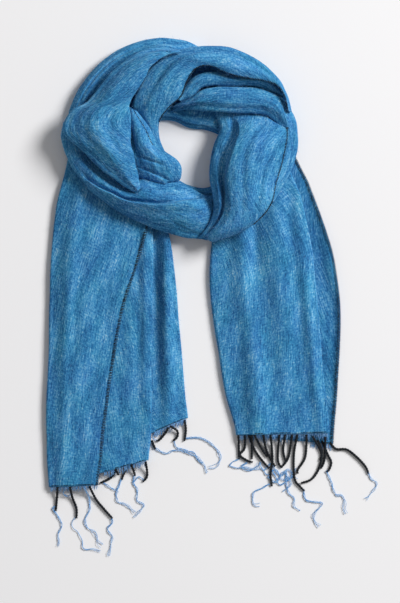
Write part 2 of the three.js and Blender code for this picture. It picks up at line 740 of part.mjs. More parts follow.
const stretchWall = (name, grow) => wall(stretchSurface(STRETCHES[name]), 0, -CLOTH, grow);
const makeRoom = (body, names) =>
  largest(names.reduce((left, name) => left.subtract(stretchWall(name, CLEAR)), body));

const bodies = {};
for (const name of Object.keys(STRETCHES)) {
  bodies[name] = makeRoom(stretchWall(name, 0), LIES_UNDER[name] ?? []);
}
for (const [name, tail] of Object.entries(TAILS)) {
  const body = wall(tailSurface(tail), CLOTH / 2, -CLOTH / 2);
  bodies[name] = makeRoom(body, Object.keys(STRETCHES));
}
const tailRoom = Object.values(TAILS).map((tail) =>
  wall(tailSurface(tail), CLOTH / 2, -CLOTH / 2, CLEAR));
bodies.hidden_turns = largest(tailRoom.reduce((left, room) => left.subtract(room),
  makeRoom(hiddenTurns(), Object.keys(STRETCHES))));
for (const [name, fringe] of Object.entries(FRINGES)) {
  bodies[name] = fringeBody(fringe);
}

function material(name) {
  const cord = name.startsWith("fringe");
  const hidden = name === "hidden_turns";
  return new THREE.MeshStandardMaterial({
    color: cord ? COLOURS.cord : hidden ? COLOURS.shade : COLOURS.cloth, roughness: 0.95, metalness: 0,
  });
}

function meshOf(name, body) {
  const { vertProperties, triVerts } = body.getMesh();
  const geometry = new THREE.BufferGeometry();
  geometry.setAttribute("position", new THREE.BufferAttribute(new Float32Array(vertProperties), 3));
  geometry.setIndex(new THREE.BufferAttribute(new Uint32Array(triVerts), 1));
  const merged = BufferGeometryUtils.mergeVertices(geometry, 1e-4);
  merged.computeVertexNormals();
  const mesh = new THREE.Mesh(merged, material(name));
  mesh.name = name;
  return mesh;
}

const shawl = new THREE.Group();
for (const [name, body] of Object.entries(bodies)) {
  shawl.add(meshOf(name, body));
}

export default shawl;
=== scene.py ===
import math
import random

import bpy
import numpy as np
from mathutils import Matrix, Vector, noise
from mathutils.bvhtree import BVHTree


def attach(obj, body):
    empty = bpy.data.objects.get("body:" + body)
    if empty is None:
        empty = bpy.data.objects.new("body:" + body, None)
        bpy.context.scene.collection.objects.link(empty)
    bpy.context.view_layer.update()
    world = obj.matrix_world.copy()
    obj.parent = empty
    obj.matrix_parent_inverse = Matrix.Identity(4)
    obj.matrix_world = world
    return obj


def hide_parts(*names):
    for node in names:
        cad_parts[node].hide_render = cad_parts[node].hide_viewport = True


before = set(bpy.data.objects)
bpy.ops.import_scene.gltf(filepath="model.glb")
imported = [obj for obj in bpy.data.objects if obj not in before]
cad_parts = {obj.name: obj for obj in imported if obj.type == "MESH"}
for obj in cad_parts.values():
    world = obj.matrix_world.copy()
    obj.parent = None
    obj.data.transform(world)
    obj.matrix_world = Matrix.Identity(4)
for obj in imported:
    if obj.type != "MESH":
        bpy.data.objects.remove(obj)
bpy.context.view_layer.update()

# A wide woven shawl, wound one and a half turns into a loop and laid flat. Sizes are in millimetres in
# the part's frame, and MM turns them to metres where a piece is made.
MM = 0.001

CLOTH = 2.0  # thickness of the cloth
GAP = 0.6  # air between a stretch and the one that lies on it
FLAP = 12.0  # how far an edge that rolls under runs back below itself
ROLL_SHARE = 0.4  # most that one rolled edge takes of a narrow section's width
FLAP_SHARE = 0.35  # most that its flap takes of the width between the rolls
LIP_EDGE = 1.6  # width of a pleat's steep edge
LIP_GAP = 0.7  # depth of the gap beside it, as a share of its rise
LIP_GAP_WIDTH = 4.0
FOLD_FADE = 0.7  # below 1, a fold keeps its depth further towards its ends
LIP_FADE = 0.5  # the same for a pleat
WRINKLES = (0.8, 2.1)  # how much weaker and how much finer each layer of wrinkles is than the last
TUCK_REACH = 7  # rounds of easing that make the slope beside a place where a stretch is pressed down
SQUEEZE_REACH = 5  # the same where the loop presses on a tail

LEVEL = 3.4  # height of one folded layer of a tail at its top
LEVEL_HEM = 2.9  # the same at its hem
REST = 0.2  # gap under the tails' lowest layer
BEND = 2.5  # reach of the bend in which one layer of a tail turns into the next
BEND_ANGLE = 72  # degrees of it on each side of its outermost line
SWELL = (26.0, 120.0)  # size of a swell across the tail and along it
SWELL_FULL = 9.0  # height from which the cloth swells in full
SWAY = (60.0, 5.0)  # size of a sideways wander along the tail and in height
SWAY_WIDTH = 1.2

SEAM = 0.5  # gap between the cloth's edge and the roots of the fringe
CORD = 1.95  # radius of a twisted fringe cord
PLY_PITCH = 8.0  # length of one full turn of its two plies
THREAD = 0.62  # radius of the loose threads at a cord's end
FALL = 12.0  # distance over which a strand comes down from its hem
FLOOR = 0.4  # lowest point of a fringe strand above the surface
FRAY_ROOT = 2.2  # how far inside the hem the frayed ends start
HEM_INSET = 2.4  # the same for its running stitch
HEM_STITCH = 0.5  # radius of that stitch
STITCH_PITCH = 2.3  # from one overcast stitch to the next
NAP_LENGTH = 3.6  # of a brushed fibre
NAP_RADII = (0.11, 0.09, 0.04)  # at its root, middle and tip
NAP_CLEAR = 0.8  # how far above a root another face hides it
YARN_FIBRE = 1.5  # length of a paler fibre in a yarn

# Steps of the sheets' grids
ROLL_STEPS = 9
FLAP_STEPS = 5
BEND_STEPS = 7
LAYER_STEPS = 30
TAIL_STATIONS = 150

random.seed(7)

# Stretches of the loop. outer_roll and inner_roll are the radii of the rolled edges, 0 where an edge is
# raw or lies under another stretch, and crown_at is the crown's share of the width. The grid has
# stations along the cloth and steps across it. The tables' columns are:
# sections: ox, oy, ix, iy, foot, lip, crown, rim, heel. Outer and inner edge in plan, then heights of
#   the outer roll's underside and top, the crown, and the inner roll's top and underside.
# folds: s0, t0, s1, t1, s2, t2, depth, width. A trough, or a ridge where the depth is below zero,
#   through three places, each a share s of the length and t of the width, and its half width.
# lips: rise, reach, edge. A pleat whose edge lies over the cloth beside it: its rise, above zero where
#   the side with the larger t is on top, how far that reaches back, and the edge's (s, t) places.
STRETCHES = {}
STRETCHES["second_turn_left"] = dict(
    outer_roll=7, inner_roll=5, crown_at=0.45, stations=170, steps=72,
    sections=[
        (-112, 155, -104, 163, 38, 44, 46, 44, 36),
        (-128, 164, -107, 177, 38, 47, 51, 48, 38),
        (-146, 178, -110, 194, 38, 49, 56, 51, 40),
        (-164, 191, -113, 209, 38, 50, 61, 54, 43),
        (-190, 217, -118, 227, 36, 50, 66, 56, 44),
        (-208, 232, -118, 244, 32, 49, 66, 57, 45),
        (-220, 247, -118, 260, 30, 46, 66, 57, 45),
        (-217, 265, -119, 275, 28, 44, 65, 58, 46),
        (-206, 280, -121, 284, 28, 44, 64, 58, 46),
        (-185, 292, -118, 293, 30, 45, 64, 59, 47),
        (-164, 317, -109, 308, 32, 46, 63, 60, 50),
        (-146, 337, -98, 325, 34, 48, 63, 60, 52),
        (-127, 353, -89, 341, 36, 50, 62, 60, 53),
        (-103, 367, -76, 353, 38, 52, 61, 60, 54),
        (-77, 373, -61, 362, 36, 48, 55, 54, 49),
        (-52, 371, -43, 365, 38, 43, 46, 46, 43),
    ],
    folds=[
        (0.12, 0.35, 0.32, 0.3, 0.6, 0.42, 4, 9),
        (0.2, 0.72, 0.38, 0.66, 0.5, 0.75, 3, 7),
        (0.55, 0.25, 0.7, 0.4, 0.95, 0.45, 3, 7),
        (0.3, 0.12, 0.45, 0.2, 0.62, 0.1, 3, 6),
    ],
)
STRETCHES["front_turn_right"] = dict(
    outer_roll=9, inner_roll=0, crown_at=0.5, stations=130, steps=100,
    sections=[
        (5, 287, 105, 290, 12, 20, 26, 22, 22),
        (8, 271, 112, 268, 12, 25, 36, 32, 32),
        (13, 250, 115, 245, 12, 32, 52, 42, 42),
        (4, 227, 112, 224, 12, 36, 60, 45, 45),
        (-1, 202, 106, 197, 12, 38, 63, 45, 45),
        (-2, 176, 98, 170, 14, 40, 63, 44, 44),
        (2, 151, 92, 143, 20, 42, 61, 43, 43),
        (4, 133, 79, 122, 24, 42, 57, 41, 41),
        (-1, 116, 56, 103, 24, 40, 52, 38, 38),
        (-10, 101, 29, 91, 22, 36, 46, 34, 34),
        (-19, 90, 2, 83, 20, 31, 37, 30, 30),
    ],
    folds=[
        (0.04, 0.23, 0.45, 0.19, 0.95, 0.28, 11, 5),
        (0.35, 0.09, 0.7, 0.12, 0.98, 0.13, -7, 10),
        (0.3, 0.8, 0.5, 0.76, 0.8, 0.8, 4, 6),
        (0.2, 0.5, 0.45, 0.48, 0.7, 0.56, 2.5, 7),
        (0.3, 0.1, 0.4, 0.13, 0.52, 0.1, 5, 5),
    ],
    lips=[(9, 22, [(0.12, 0.27), (0.3, 0.28), (0.5, 0.225), (0.7, 0.2), (0.85, 0.23), (0.99, 0.3)])],
)
STRETCHES["front_turn_bottom"] = dict(
    outer_roll=8, inner_roll=7, crown_at=0.6, stations=190, steps=84,
    sections=[
        (8, 88, 5, 153, 14, 20, 28, 22, 12),
        (-11, 87, -8, 154, 14, 22, 38, 24, 11),
        (-34, 88, -28, 164, 14, 24, 44, 25, 10),
        (-59, 94, -52, 173, 16, 28, 47, 26, 10),
        (-85, 103, -76, 173, 17, 31, 47, 29, 12),
        (-109, 113, -97, 179, 17, 33, 46, 30, 16),
        (-134, 125, -115, 176, 17, 34, 44, 30, 18),
        (-158, 142, -130, 181, 17, 34, 42, 29, 18),
        (-178, 157, -148, 194, 17, 34, 40, 28, 18),
        (-196, 178, -166, 209, 17, 33, 38, 27, 18),
        (-209, 196, -181, 226, 17, 32, 36, 26, 17),
        (-218, 215, -193, 239, 17, 31, 34, 26, 17),
        (-224, 239, -199, 251, 17, 29, 31, 26, 18),
        (-220, 262, -196, 265, 17, 26, 28, 25, 18),
    ],
    folds=[
        (0.1, 0.93, 0.22, 0.82, 0.34, 0.74, 4, 4),
        (0.28, 0.9, 0.42, 0.8, 0.56, 0.8, 5, 4),
        (0.4, 0.62, 0.5, 0.6, 0.62, 0.6, 3, 4),
        (0.02, 0.4, 0.12, 0.5, 0.3, 0.3, 2, 6),
        (0.015, 0.97, 0.02, 0.55, 0.07, 0.14, 18, 10),
        (0.42, 0.68, 0.6, 0.7, 0.84, 0.55, 10, 7),
    ],
    lips=[(-11, 24, [(0.05, 0.97), (0.08, 0.93), (0.154, 0.76), (0.231, 0.6), (0.31, 0.51),
                    (0.385, 0.43), (0.46, 0.4), (0.54, 0.35), (0.62, 0.25), (0.7, 0.12)])],
)
STRETCHES["left_inner_fold"] = dict(
    outer_roll=0, inner_roll=7, crown_at=0.55, stations=80, steps=52,
    sections=[
        (-122, 284, -109, 278, 42, 42, 46, 42, 32),
        (-124, 266, -95, 259, 42, 42, 52, 43, 29),
        (-124, 250, -85, 242, 42, 42, 54, 42, 27),
        (-122, 233, -77, 226, 41, 41, 54, 41, 26),
        (-121, 218, -65, 217, 40, 40, 54, 40, 24),
        (-119, 203, -49, 205, 38, 38, 51, 38, 22),
        (-116, 190, -43, 193, 35, 35, 44, 34, 20),
        (-107, 178, -44, 179, 31, 31, 36, 29, 17),
        (-91, 167, -50, 172, 26, 26, 29, 25, 15),
    ],
    folds=[
        (0.12, 0.1, 0.34, 0.12, 0.6, 0.22, 9, 3.5),
        (0.55, 0.1, 0.62, 0.4, 0.72, 0.62, 3, 5),
        (0.7, 0.1, 0.8, 0.4, 0.93, 0.7, 5, 4),
        (0.3, 0.75, 0.5, 0.6, 0.66, 0.72, -2.5, 6),
    ],
)
STRETCHES["second_turn_top"] = dict(
    outer_roll=8, inner_roll=0, crown_at=0.5, stations=190, steps=44,
    sections=[
        (-100, 233, -68, 218, 8, 18, 22, 17, 17),
        (-115, 257, -76, 239, 14, 26, 31, 24, 24),
        (-119, 278, -76, 263, 20, 34, 40, 33, 33),
        (-115, 299, -61, 284, 22, 38, 48, 42, 42),
        (-103, 323, -44, 299, 22, 40, 52, 47, 47),
        (-88, 344, -35, 320, 22, 40, 53, 49, 49),
        (-64, 362, -25, 337, 22, 40, 53, 50, 50),
        (-34, 373, -13, 344, 21, 41, 53, 50, 50),
        (-7, 376, 4, 343, 20, 42, 53, 50, 50),
        (26, 374, 26, 333, 20, 42, 54, 50, 50),
        (59, 361, 55, 326, 20, 42, 54, 50, 50),
        (86, 343, 82, 322, 20, 42, 53, 50, 50),
        (104, 323, 100, 314, 26, 44, 50, 49, 49),
        (116, 299, 110, 299, 34, 44, 47, 46, 46),
        (121, 277, 115, 277, 34, 42, 44, 43, 43),
    ],
    folds=[
        (0.48, 0.3, 0.62, 0.32, 0.85, 0.4, 4, 7),
        (0.2, 0.6, 0.35, 0.62, 0.5, 0.7, 3, 6),
        (0.12, 0.35, 0.3, 0.3, 0.5, 0.42, 4, 7),
        (0.5, 0.62, 0.66, 0.6, 0.8, 0.66, 2.5, 5),
    ],
)
STRETCHES["first_turn_side"] = dict(
    outer_roll=7, inner_roll=6, crown_at=0.45, stations=190, steps=40,
    sections=[
        (-52, 290, -59, 278, 14, 24, 28, 22, 12),
        (-31, 298, -34, 280, 22, 36, 42, 34, 22),
        (-14, 310, -11, 278, 26, 40, 49, 40, 27),
        (7, 314, 10, 277, 28, 42, 51, 42, 30),
        (37, 314, 38, 275, 28, 42, 52, 43, 31),
        (67, 313, 67, 274, 28, 42, 52, 43, 31),
        (86, 308, 82, 272, 26, 42, 51, 42, 30),
        (107, 299, 89, 268, 22, 40, 48, 40, 28),
        (121, 280, 98, 260, 18, 36, 43, 37, 26),
        (129, 262, 104, 250, 15, 32, 38, 34, 24),
        (131, 241, 103, 236, 11, 29, 36, 32, 18),
        (130, 221, 98, 218, 11, 27, 35, 31, 16),
        (124, 199, 92, 199, 11, 27, 34, 30, 16),
        (110, 169, 83, 173, 11, 27, 33, 30, 16),
        (94, 143, 70, 150, 11, 26, 31, 28, 15),
    ],
    folds=[
        (0.12, 0.4, 0.25, 0.48, 0.42, 0.4, 3, 6),
        (0.62, 0.35, 0.78, 0.4, 0.95, 0.35, 3, 5),
    ],
)
STRETCHES["under_fold"] = dict(
    outer_roll=0, inner_roll=4, crown_at=0.5, stations=110, steps=20,
    sections=[
        (-52, 299, -40, 287, 30, 30, 34, 31, 20),
        (-40, 313, -28, 296, 34, 34, 39, 36, 24),
        (-28, 326, -19, 308, 36, 36, 42, 38, 26),
        (-11, 335, -10, 314, 36, 36, 42, 39, 27),
        (8, 337, 8, 316, 36, 36, 42, 39, 27),
        (28, 331, 29, 315, 36, 36, 43, 38, 24),
        (47, 330, 48, 315, 36, 36, 43, 38, 24),
        (65, 330, 64, 314, 36, 36, 43, 37, 22),
        (80, 329, 76, 312, 36, 36, 42, 36, 20),
        (96, 322, 84, 306, 34, 34, 39, 33, 20),
        (112, 302, 94, 294, 30, 30, 34, 29, 18),
        (119, 284, 102, 278, 25, 25, 29, 24, 15),
    ],
    folds=[
        (0.02, 0.4, 0.12, 0.5, 0.24, 0.5, 3, 4),
    ],
)
STRETCHES["first_turn_back"] = dict(
    outer_roll=8, inner_roll=0, crown_at=0.28, stations=170, steps=44,
    sections=[
        (-215, 243, -184, 237, 3, 13, 19, 14, 14),
        (-214, 263, -178, 257, 3, 15, 22, 14, 14),
        (-211, 284, -170, 278, 3, 18, 26, 14, 14),
        (-193, 320, -154, 299, 3, 21, 33, 14, 14),
        (-164, 353, -133, 323, 3, 22, 36, 14, 14),
        (-133, 374, -109, 338, 3, 22, 37, 14, 14),
        (-103, 385, -86, 347, 3, 21, 35, 14, 14),
        (-68, 389, -61, 350, 3, 19, 31, 12, 12),
        (-38, 385, -37, 347, 3, 16, 22, 10, 10),
        (-14, 374, -19, 338, 3, 12, 14, 8, 8),
        (5, 365, -4, 332, 3, 10, 11, 7, 7),
    ],
    folds=[
        (0.16, 0.52, 0.34, 0.5, 0.62, 0.44, 12, 6),
        (0.4, 0.7, 0.6, 0.6, 0.85, 0.5, 4, 6),
    ],
    lips=[(-5, 14, [(0.16, 0.24), (0.3, 0.22), (0.45, 0.21), (0.6, 0.2), (0.78, 0.22)])],
)

# The stretches that lie on each one and press it down
LIES_UNDER = {
    "left_inner_fold": ("second_turn_left", "front_turn_bottom"),
    "second_turn_top": ("second_turn_left", "left_inner_fold"),
    "first_turn_back": ("second_turn_left", "second_turn_top", "front_turn_bottom"),
    "under_fold": ("second_turn_top", "first_turn_side"),
    "first_turn_side": ("second_turn_top", "left_inner_fold"),
    "front_turn_right": ("first_turn_side",),
    "front_turn_bottom": ("second_turn_left", "front_turn_right"),
}

# The hidden turns: a rounded ring round the neck opening. Columns: angle, inner and outer radius, height.
RING_CENTRE = (-31.0, 218.0)
RING = [
    (0, 58, 140, 25), (16, 58, 156, 24), (30, 51, 164, 22), (44, 44, 162, 20), (60, 39, 146, 18),
    (80, 35, 142, 17), (100, 39, 144, 17), (120, 54, 150, 19),
    (150, 74, 156, 19), (180, 64, 148, 17), (195, 56, 124, 17), (210, 48, 104, 17), (240, 44, 92, 19),
    (270, 50, 104, 19), (300, 60, 96, 23), (330, 60, 104, 25), (345, 58, 116, 25),
]
RING_STATIONS = 132
RING_WARP = 0.62  # metres of cloth once round the ring
RING_WEFT = 4.0  # cloth from one point of its profile to the next
# Its profile from each edge inwards: inset and share of the height, one lip for each layer of cloth
RING_EDGE = [
    (1.0, 0), (0, 0.08), (0, 0.2), (1.0, 0.28), (3.4, 0.31), (3.2, 0.35), (2.6, 0.42), (3.2, 0.52),
    (6.5, 0.56), (6.4, 0.6), (6.4, 0.68), (9, 0.75), (14, 0.82), (24, 0.93),
]

# Tails, each one width of cloth that is folded in layers. The tables' columns are:
# edges: name, level of the layer that starts there, y at the top, y at the hem. The folds and edges, in
#   the order in which the cloth passes through them.
# across: share t of the way to the hem, then x of each edge.
# droop: the edge that hangs down, from which level up, how far, over what reach. puff is the arch of
#   those layers at the tail's top.
# ridges: level, t0, x0, t1, x1, rise, width. A ridge in the layers from that level up, between two places.
TAILS = {}
TAILS["left_tail"] = dict(
    edges=[("selvedge", 4, 122, -281), ("left", 3, 212, -284), ("middle", 2, 124, -244),
           ("inner", 1, 180, -256), ("right", 0, 114, -181), ("last", 0, 158, -226)],
    across=[
        (0, -92, -212, -86, -184, -66, -160),
        (0.15, -106, -230, -87, -200, -58, -176),
        (0.35, -131, -239, -88, -209, -52, -182),
        (0.55, -146, -241, -89, -211, -47, -186),
        (0.75, -157, -245, -89, -215, -42, -188),
        (0.9, -163, -245, -90, -215, -38, -186),
        (1, -169, -241, -94, -211, -35, -180),
    ],
    droop=("left", 3, 5.6, 26), puff=4,
    ridges=[
        (4, 0.05, -168, 0.9, -212, 3, 17),
        (3, 0.1, -116, 0.9, -124, 2, 12),
        (4, -0.1, -190, 0.8, -226, 4, 9),
        (0, -0.3, -69, 1.2, -61, 13, 8),
        (2, -0.2, -97, 1.0, -96, 6, 6),
        (0, -0.2, -82, 0.9, -80, -3, 4),
    ],
)
TAILS["right_tail"] = dict(
    edges=[("tucked", 1, 128, -204), ("right", 2, 200, -203), ("left", 0, 106, -206),
           ("back", 0, 226, -220)],
    across=[
        (0, 26, 116, 6, 122),
        (0.12, 24, 134, 1, 146),
        (0.3, 24, 150, 0, 175),
        (0.45, 30, 157, 5, 190),
        (0.6, 38, 162, 13, 194),
        (0.8, 50, 169, 23, 190),
        (1, 66, 178, 40, 184),
    ],
    droop=("right", 1, 1.6, 24), puff=5,
    ridges=[
        (1, -0.3, 44, 0.5, 50, 8, 14),
        (1, -0.25, 88, 0.85, 116, 9, 18),
        (1, 0.25, 52, 1.3, 84, 9, 15),
        (1, 0.0, 62, 0.4, 72, -4, 7),
        (1, -0.15, 118, 1.25, 178, 8, 9),
        (0, 0.0, 148, 0.7, 211, 7, 10),
        (0, 0.4, 203, 1.2, 192, 6, 10),
    ],
)

# Fringe by hem: the two edges of the tail between which the hem runs and its level, the start, end and
# length of its short frayed ends, and the centre lines in plan of the black cords and blue threads.
FRINGES = {}
FRINGES["left_front"] = dict(
    tail="left_tail", edges=("left", "selvedge"), level=4, start=-240, end=-170, fray=9,
    cords=[
        [(-229, -284), (-230, -298), (-232, -320)],
        [(-210, -284), (-207, -300), (-201, -316), (-201, -331)],
        [(-181, -283), (-172, -302), (-159, -318), (-147, -331)],
    ],
    threads=[
        [(-232, -314), (-236, -316), (-230, -327), (-223, -338), (-227, -356), (-226, -373)],
        [(-202, -328), (-207, -335), (-205, -347), (-194, -358), (-190, -375), (-165, -378)],
        [(-189, -283), (-183, -298), (-181, -315), (-188, -333), (-186, -344), (-174, -353),
         (-169, -367), (-163, -373)],
        [(-148, -329), (-148, -338), (-154, -346), (-150, -355), (-147, -361), (-150, -378),
         (-151, -388)],
        [(-217, -284), (-220, -293), (-211, -299), (-208, -295)],
    ],
)
FRINGES["left_middle"] = dict(
    tail="left_tail", edges=("left", "middle"), level=3, start=-160, end=-96, fray=11,
    cords=[
        [(-140, -253), (-148, -269), (-165, -278)],
        [(-143, -254), (-138, -266)],
        [(-114, -247), (-127, -258), (-133, -273)],
        [(-119, -248), (-113, -267)],
        [(-97, -246), (-95, -267), (-101, -276)],
    ],
    threads=[
        [(-133, -271), (-141, -293), (-139, -306), (-129, -309), (-119, -316), (-112, -321)],
        [(-113, -265), (-116, -278), (-110, -287), (-110, -304), (-101, -309), (-101, -316),
         (-114, -331)],
        [(-101, -274), (-109, -269), (-116, -278)],
        [(-160, -278), (-148, -286), (-137, -289)],
    ],
)
FRINGES["left_back"] = dict(
    tail="left_tail", edges=("inner", "right"), level=1, start=-84, end=-37, fray=11,
    cords=[
        [(-63, -195), (-67, -202), (-76, -213), (-81, -215)],
        [(-60, -193), (-50, -200), (-50, -209), (-56, -215)],
        [(-39, -184), (-37, -198), (-39, -215)],
        [(-88, -215), (-83, -227)],
    ],
    threads=[
        [(-56, -214), (-48, -226), (-28, -231), (-19, -242), (-10, -251), (-3, -262)],
        [(-38, -211), (-14, -211), (6, -224), (15, -240), (8, -253), (-3, -255)],
        [(-83, -226), (-67, -234), (-54, -229), (-38, -232), (-21, -240), (-12, -249)],
        [(-82, -204), (-86, -211), (-80, -214)],
    ],
)
FRINGES["right_front"] = dict(
    tail="right_tail", edges=("left", "right"), level=2, start=42, end=176, fray=17,
    cords=[
        [(42, -206), (43, -242)],
        [(52, -205), (51, -226), (44, -236), (54, -244), (63, -247)],
        [(62, -206), (62, -242)],
        [(57, -205), (66, -228), (77, -244), (88, -256)],
        [(66, -205), (74, -222), (85, -239)],
        [(90, -206), (93, -242), (90, -264), (92, -283)],
        [(79, -205), (83, -226), (91, -244), (97, -253)],
        [(103, -206), (101, -242), (106, -255)],
        [(122, -206), (117, -239), (106, -255)],
        [(112, -206), (109, -229), (113, -247)],
        [(144, -206), (142, -239), (131, -258), (131, -264)],
        [(130, -206), (125, -236), (126, -271), (134, -283), (141, -290)],
        [(153, -208), (166, -233), (163, -255), (152, -272), (136, -278)],
        [(172, -209), (171, -242), (166, -256)],
    ],
    threads=[
        [(139, -287), (144, -304), (164, -307), (166, -312), (155, -326), (156, -334), (164, -343)],
        [(43, -241), (28, -253), (46, -255), (68, -256), (74, -249)],
        [(55, -248), (46, -254), (59, -259), (77, -253)],
        [(89, -280), (65, -293), (65, -308), (74, -311)],
        [(113, -259), (115, -288), (125, -301), (125, -312), (134, -320)],
        [(74, -247), (83, -265), (98, -259), (110, -274), (122, -265)],
        [(80, -259), (92, -250), (104, -268), (116, -259), (128, -274)],
        [(86, -268), (98, -277), (110, -262), (119, -280), (107, -289)],
        [(92, -256), (104, -280), (119, -271), (128, -256)],
    ],
)
FRINGES["right_back"] = dict(
    tail="right_tail", edges=("left", "back"), level=0, start=150, end=183, fray=12,
    cords=[
        [(167, -215), (176, -236), (181, -247), (178, -258), (174, -261)],
        [(179, -217), (188, -227), (204, -228), (219, -239), (232, -253), (237, -264)],
        [(161, -214), (167, -232), (164, -244)],
    ],
    threads=[
        [(174, -259), (182, -280), (188, -296), (197, -296), (201, -304), (201, -315), (204, -324)],
        [(236, -262), (240, -271), (249, -278), (243, -291), (232, -302)],
    ],
)


# Camera and light

FRAME_HEIGHT = 904.5  # what the picture's height takes in on the surface
FRAME_CENTRE = (-15.75, -6.0)
CAMERA_HEIGHT = 6.0  # metres above the surface
SENSOR = 36.0
LIGHT_TARGET = (0, 0.1, 0)  # metres
FLOOR_SIZE = 14  # metres


def aim(thing, target):
    direction = Vector(target) - thing.location
    thing.rotation_euler = direction.to_track_quat("-Z", "Y").to_euler()


def camera_above():
    bpy.ops.object.camera_add(location=(FRAME_CENTRE[0] * MM, FRAME_CENTRE[1] * MM, CAMERA_HEIGHT))
    camera = bpy.context.object
    camera.rotation_euler = (0, 0, 0)
    camera.data.sensor_fit = "VERTICAL"
    camera.data.sensor_height = SENSOR
    camera.data.lens = SENSOR * CAMERA_HEIGHT / (FRAME_HEIGHT * MM)
    camera.data.clip_end = 50
    bpy.context.scene.camera = camera


def soft_light(name, place, size, power):
    bpy.ops.object.light_add(type="AREA", location=place)
    light = bpy.context.object
    light.name = name
    light.data.shape = "DISK"
    light.data.size = size
    light.data.energy = power
    aim(light, LIGHT_TARGET)


def linear(code):
    """sRGB hex to linear colour"""
    channels = [int(code[i:i + 2], 16) / 255 for i in (1, 3, 5)]
    return tuple(c / 12.92 if c <= 0.04045 else ((c + 0.055) / 1.055) ** 2.4 for c in channels) + (1,)


def node(tree, kind, settings=None, inputs=None):
    """Adds a node. An input is a value, or a socket to link from."""
    made = tree.nodes.new(kind)
    for key, value in (settings or {}).items():
        setattr(made, key, value)
    for key, value in (inputs or {}).items():
        if isinstance(value, bpy.types.NodeSocket):
            tree.links.new(value, made.inputs[key])
        else:
            made.inputs[key].default_value = value
    return made


def new_material(name):
    material = bpy.data.materials.new(name)
    material.use_nodes = True
    material.node_tree.nodes.clear()
    return material, material.node_tree


def ramp(tree, factor, stops):
    made = node(tree, "ShaderNodeValToRGB", inputs={"Fac": factor})
    elements = made.color_ramp.elements
    while len(elements) < len(stops):
        elements.new(0.5)
    for element, (place, colour) in zip(elements, stops):
        element.position = place
        element.color = colour
    return made.outputs["Color"]


def streaks(tree, uv, along, across, detail):
    """Noise drawn out along the warp: along and across are its grain in millimetres"""
    mapping = node(tree, "ShaderNodeMapping", inputs={
        "Vector": uv, "Scale": (1 / (along * MM), 1 / (across * MM), 1)})
    made = node(tree, "ShaderNodeTexNoise", inputs={
        "Vector": mapping.outputs["Vector"], "Scale": 1.0, "Detail": detail, "Roughness": 0.6})
    return made.outputs["Fac"]


def weighted(tree, parts):
    """Sum of patterns about their middle value, each times its weight, plus a half"""
    total = 0.5 - 0.5 * sum(weight for _, weight in parts)
    for pattern, weight in parts:
        total = node(tree, "ShaderNodeMath", {"operation": "MULTIPLY_ADD"}, {
            0: pattern, 1: weight, 2: total}).outputs[0]
    return total


def brushed_cloth():
    """Brushed wool-blend cloth: navy, mid blue and sky fibres are mixed in small nubs and in broken
    streaks along the warp, the dye varies in soft clouds, and the raised nap is matt with a faint haze
    at grazing angles"""
    material, tree = new_material("brushed_wool_blend_cloth")
    uv = node(tree, "ShaderNodeUVMap", {"uv_map": "UVMap"}).outputs["UV"]
    # Millimetres along the warp and across it. The nubs and slubs of the real cloth are under a
    # millimetre wide, too fine to show, so they are drawn about 2 mm wide.
    nubs = streaks(tree, uv, 3.4, 2.2, 2.0)
    warp_slubs = streaks(tree, uv, 18, 1.8, 2.0)
    weft_slubs = streaks(tree, uv, 2, 9, 1.0)
    dye_clouds = streaks(tree, uv, 70, 22, 2.0)
    mixture = weighted(tree, [(nubs, 0.36), (warp_slubs, 0.38), (weft_slubs, 0.2), (dye_clouds, 0.24)])
    colour = ramp(tree, mixture, [
        (0.3, linear("#0E3A62")), (0.43, linear("#25679B")), (0.51, linear("#3882B4")),
        (0.58, linear("#5C9DC3")), (0.7, linear("#A3C7D6"))])
    tints = streaks(tree, uv, 60, 34, 2.0)
    tinted = node(tree, "ShaderNodeHueSaturation", inputs={
        "Hue": weighted(tree, [(tints, 0.04)]),
        "Value": node(tree, "ShaderNodeMath", {"operation": "ADD"}, {
            0: weighted(tree, [(dye_clouds, 0.55)]), 1: 0.5}).outputs[0],
        "Color": colour})
    bump = node(tree, "ShaderNodeBump", inputs={
        "Height": weighted(tree, [(nubs, 1.0), (warp_slubs, 0.6), (weft_slubs, 0.4)]),
        "Strength": 0.5, "Distance": 0.7 * MM})
    shader = node(tree, "ShaderNodeBsdfPrincipled", inputs={
        "Base Color": tinted.outputs["Color"], "Roughness": 0.92, "Normal": bump.outputs["Normal"],
        "Sheen Weight": 0.08, "Sheen Roughness": 0.5, "Sheen Tint": linear("#9CC4E0"),
        "Specular IOR Level": 0.15})
    node(tree, "ShaderNodeOutputMaterial", inputs={"Surface": shader.outputs["BSDF"]})
    return material


def yarn_material(name, dark, light):
    """Plied woollen yarn: matt, with short paler fibres here and there in its plies"""
    material, tree = new_material(name)
    place = node(tree, "ShaderNodeTexCoord").outputs["Object"]
    grain = node(tree, "ShaderNodeTexNoise", inputs={
        "Vector": place, "Scale": 1 / (YARN_FIBRE * MM), "Detail": 2.0})
    colour = ramp(tree, grain.outputs["Fac"], [(0.35, linear(dark)), (0.7, linear(light))])
    shader = node(tree, "ShaderNodeBsdfPrincipled", inputs={
        "Base Color": colour, "Roughness": 0.85, "Specular IOR Level": 0.25})
    node(tree, "ShaderNodeOutputMaterial", inputs={"Surface": shader.outputs["BSDF"]})
    return material


def paper_floor():
    """Matt white paper, plain and pale"""
    material, tree = new_material("white_paper_sweep")
    shader = node(tree, "ShaderNodeBsdfPrincipled", inputs={
        "Base Color": linear("#F1F0F1"), "Roughness": 0.9, "Specular IOR Level": 0.1})
    node(tree, "ShaderNodeOutputMaterial", inputs={"Surface": shader.outputs["BSDF"]})
    bpy.ops.mesh.primitive_plane_add(size=FLOOR_SIZE, location=(0, 0, 0))
    floor = bpy.context.object
    floor.name = "paper_floor"
    floor.data.materials.append(material)


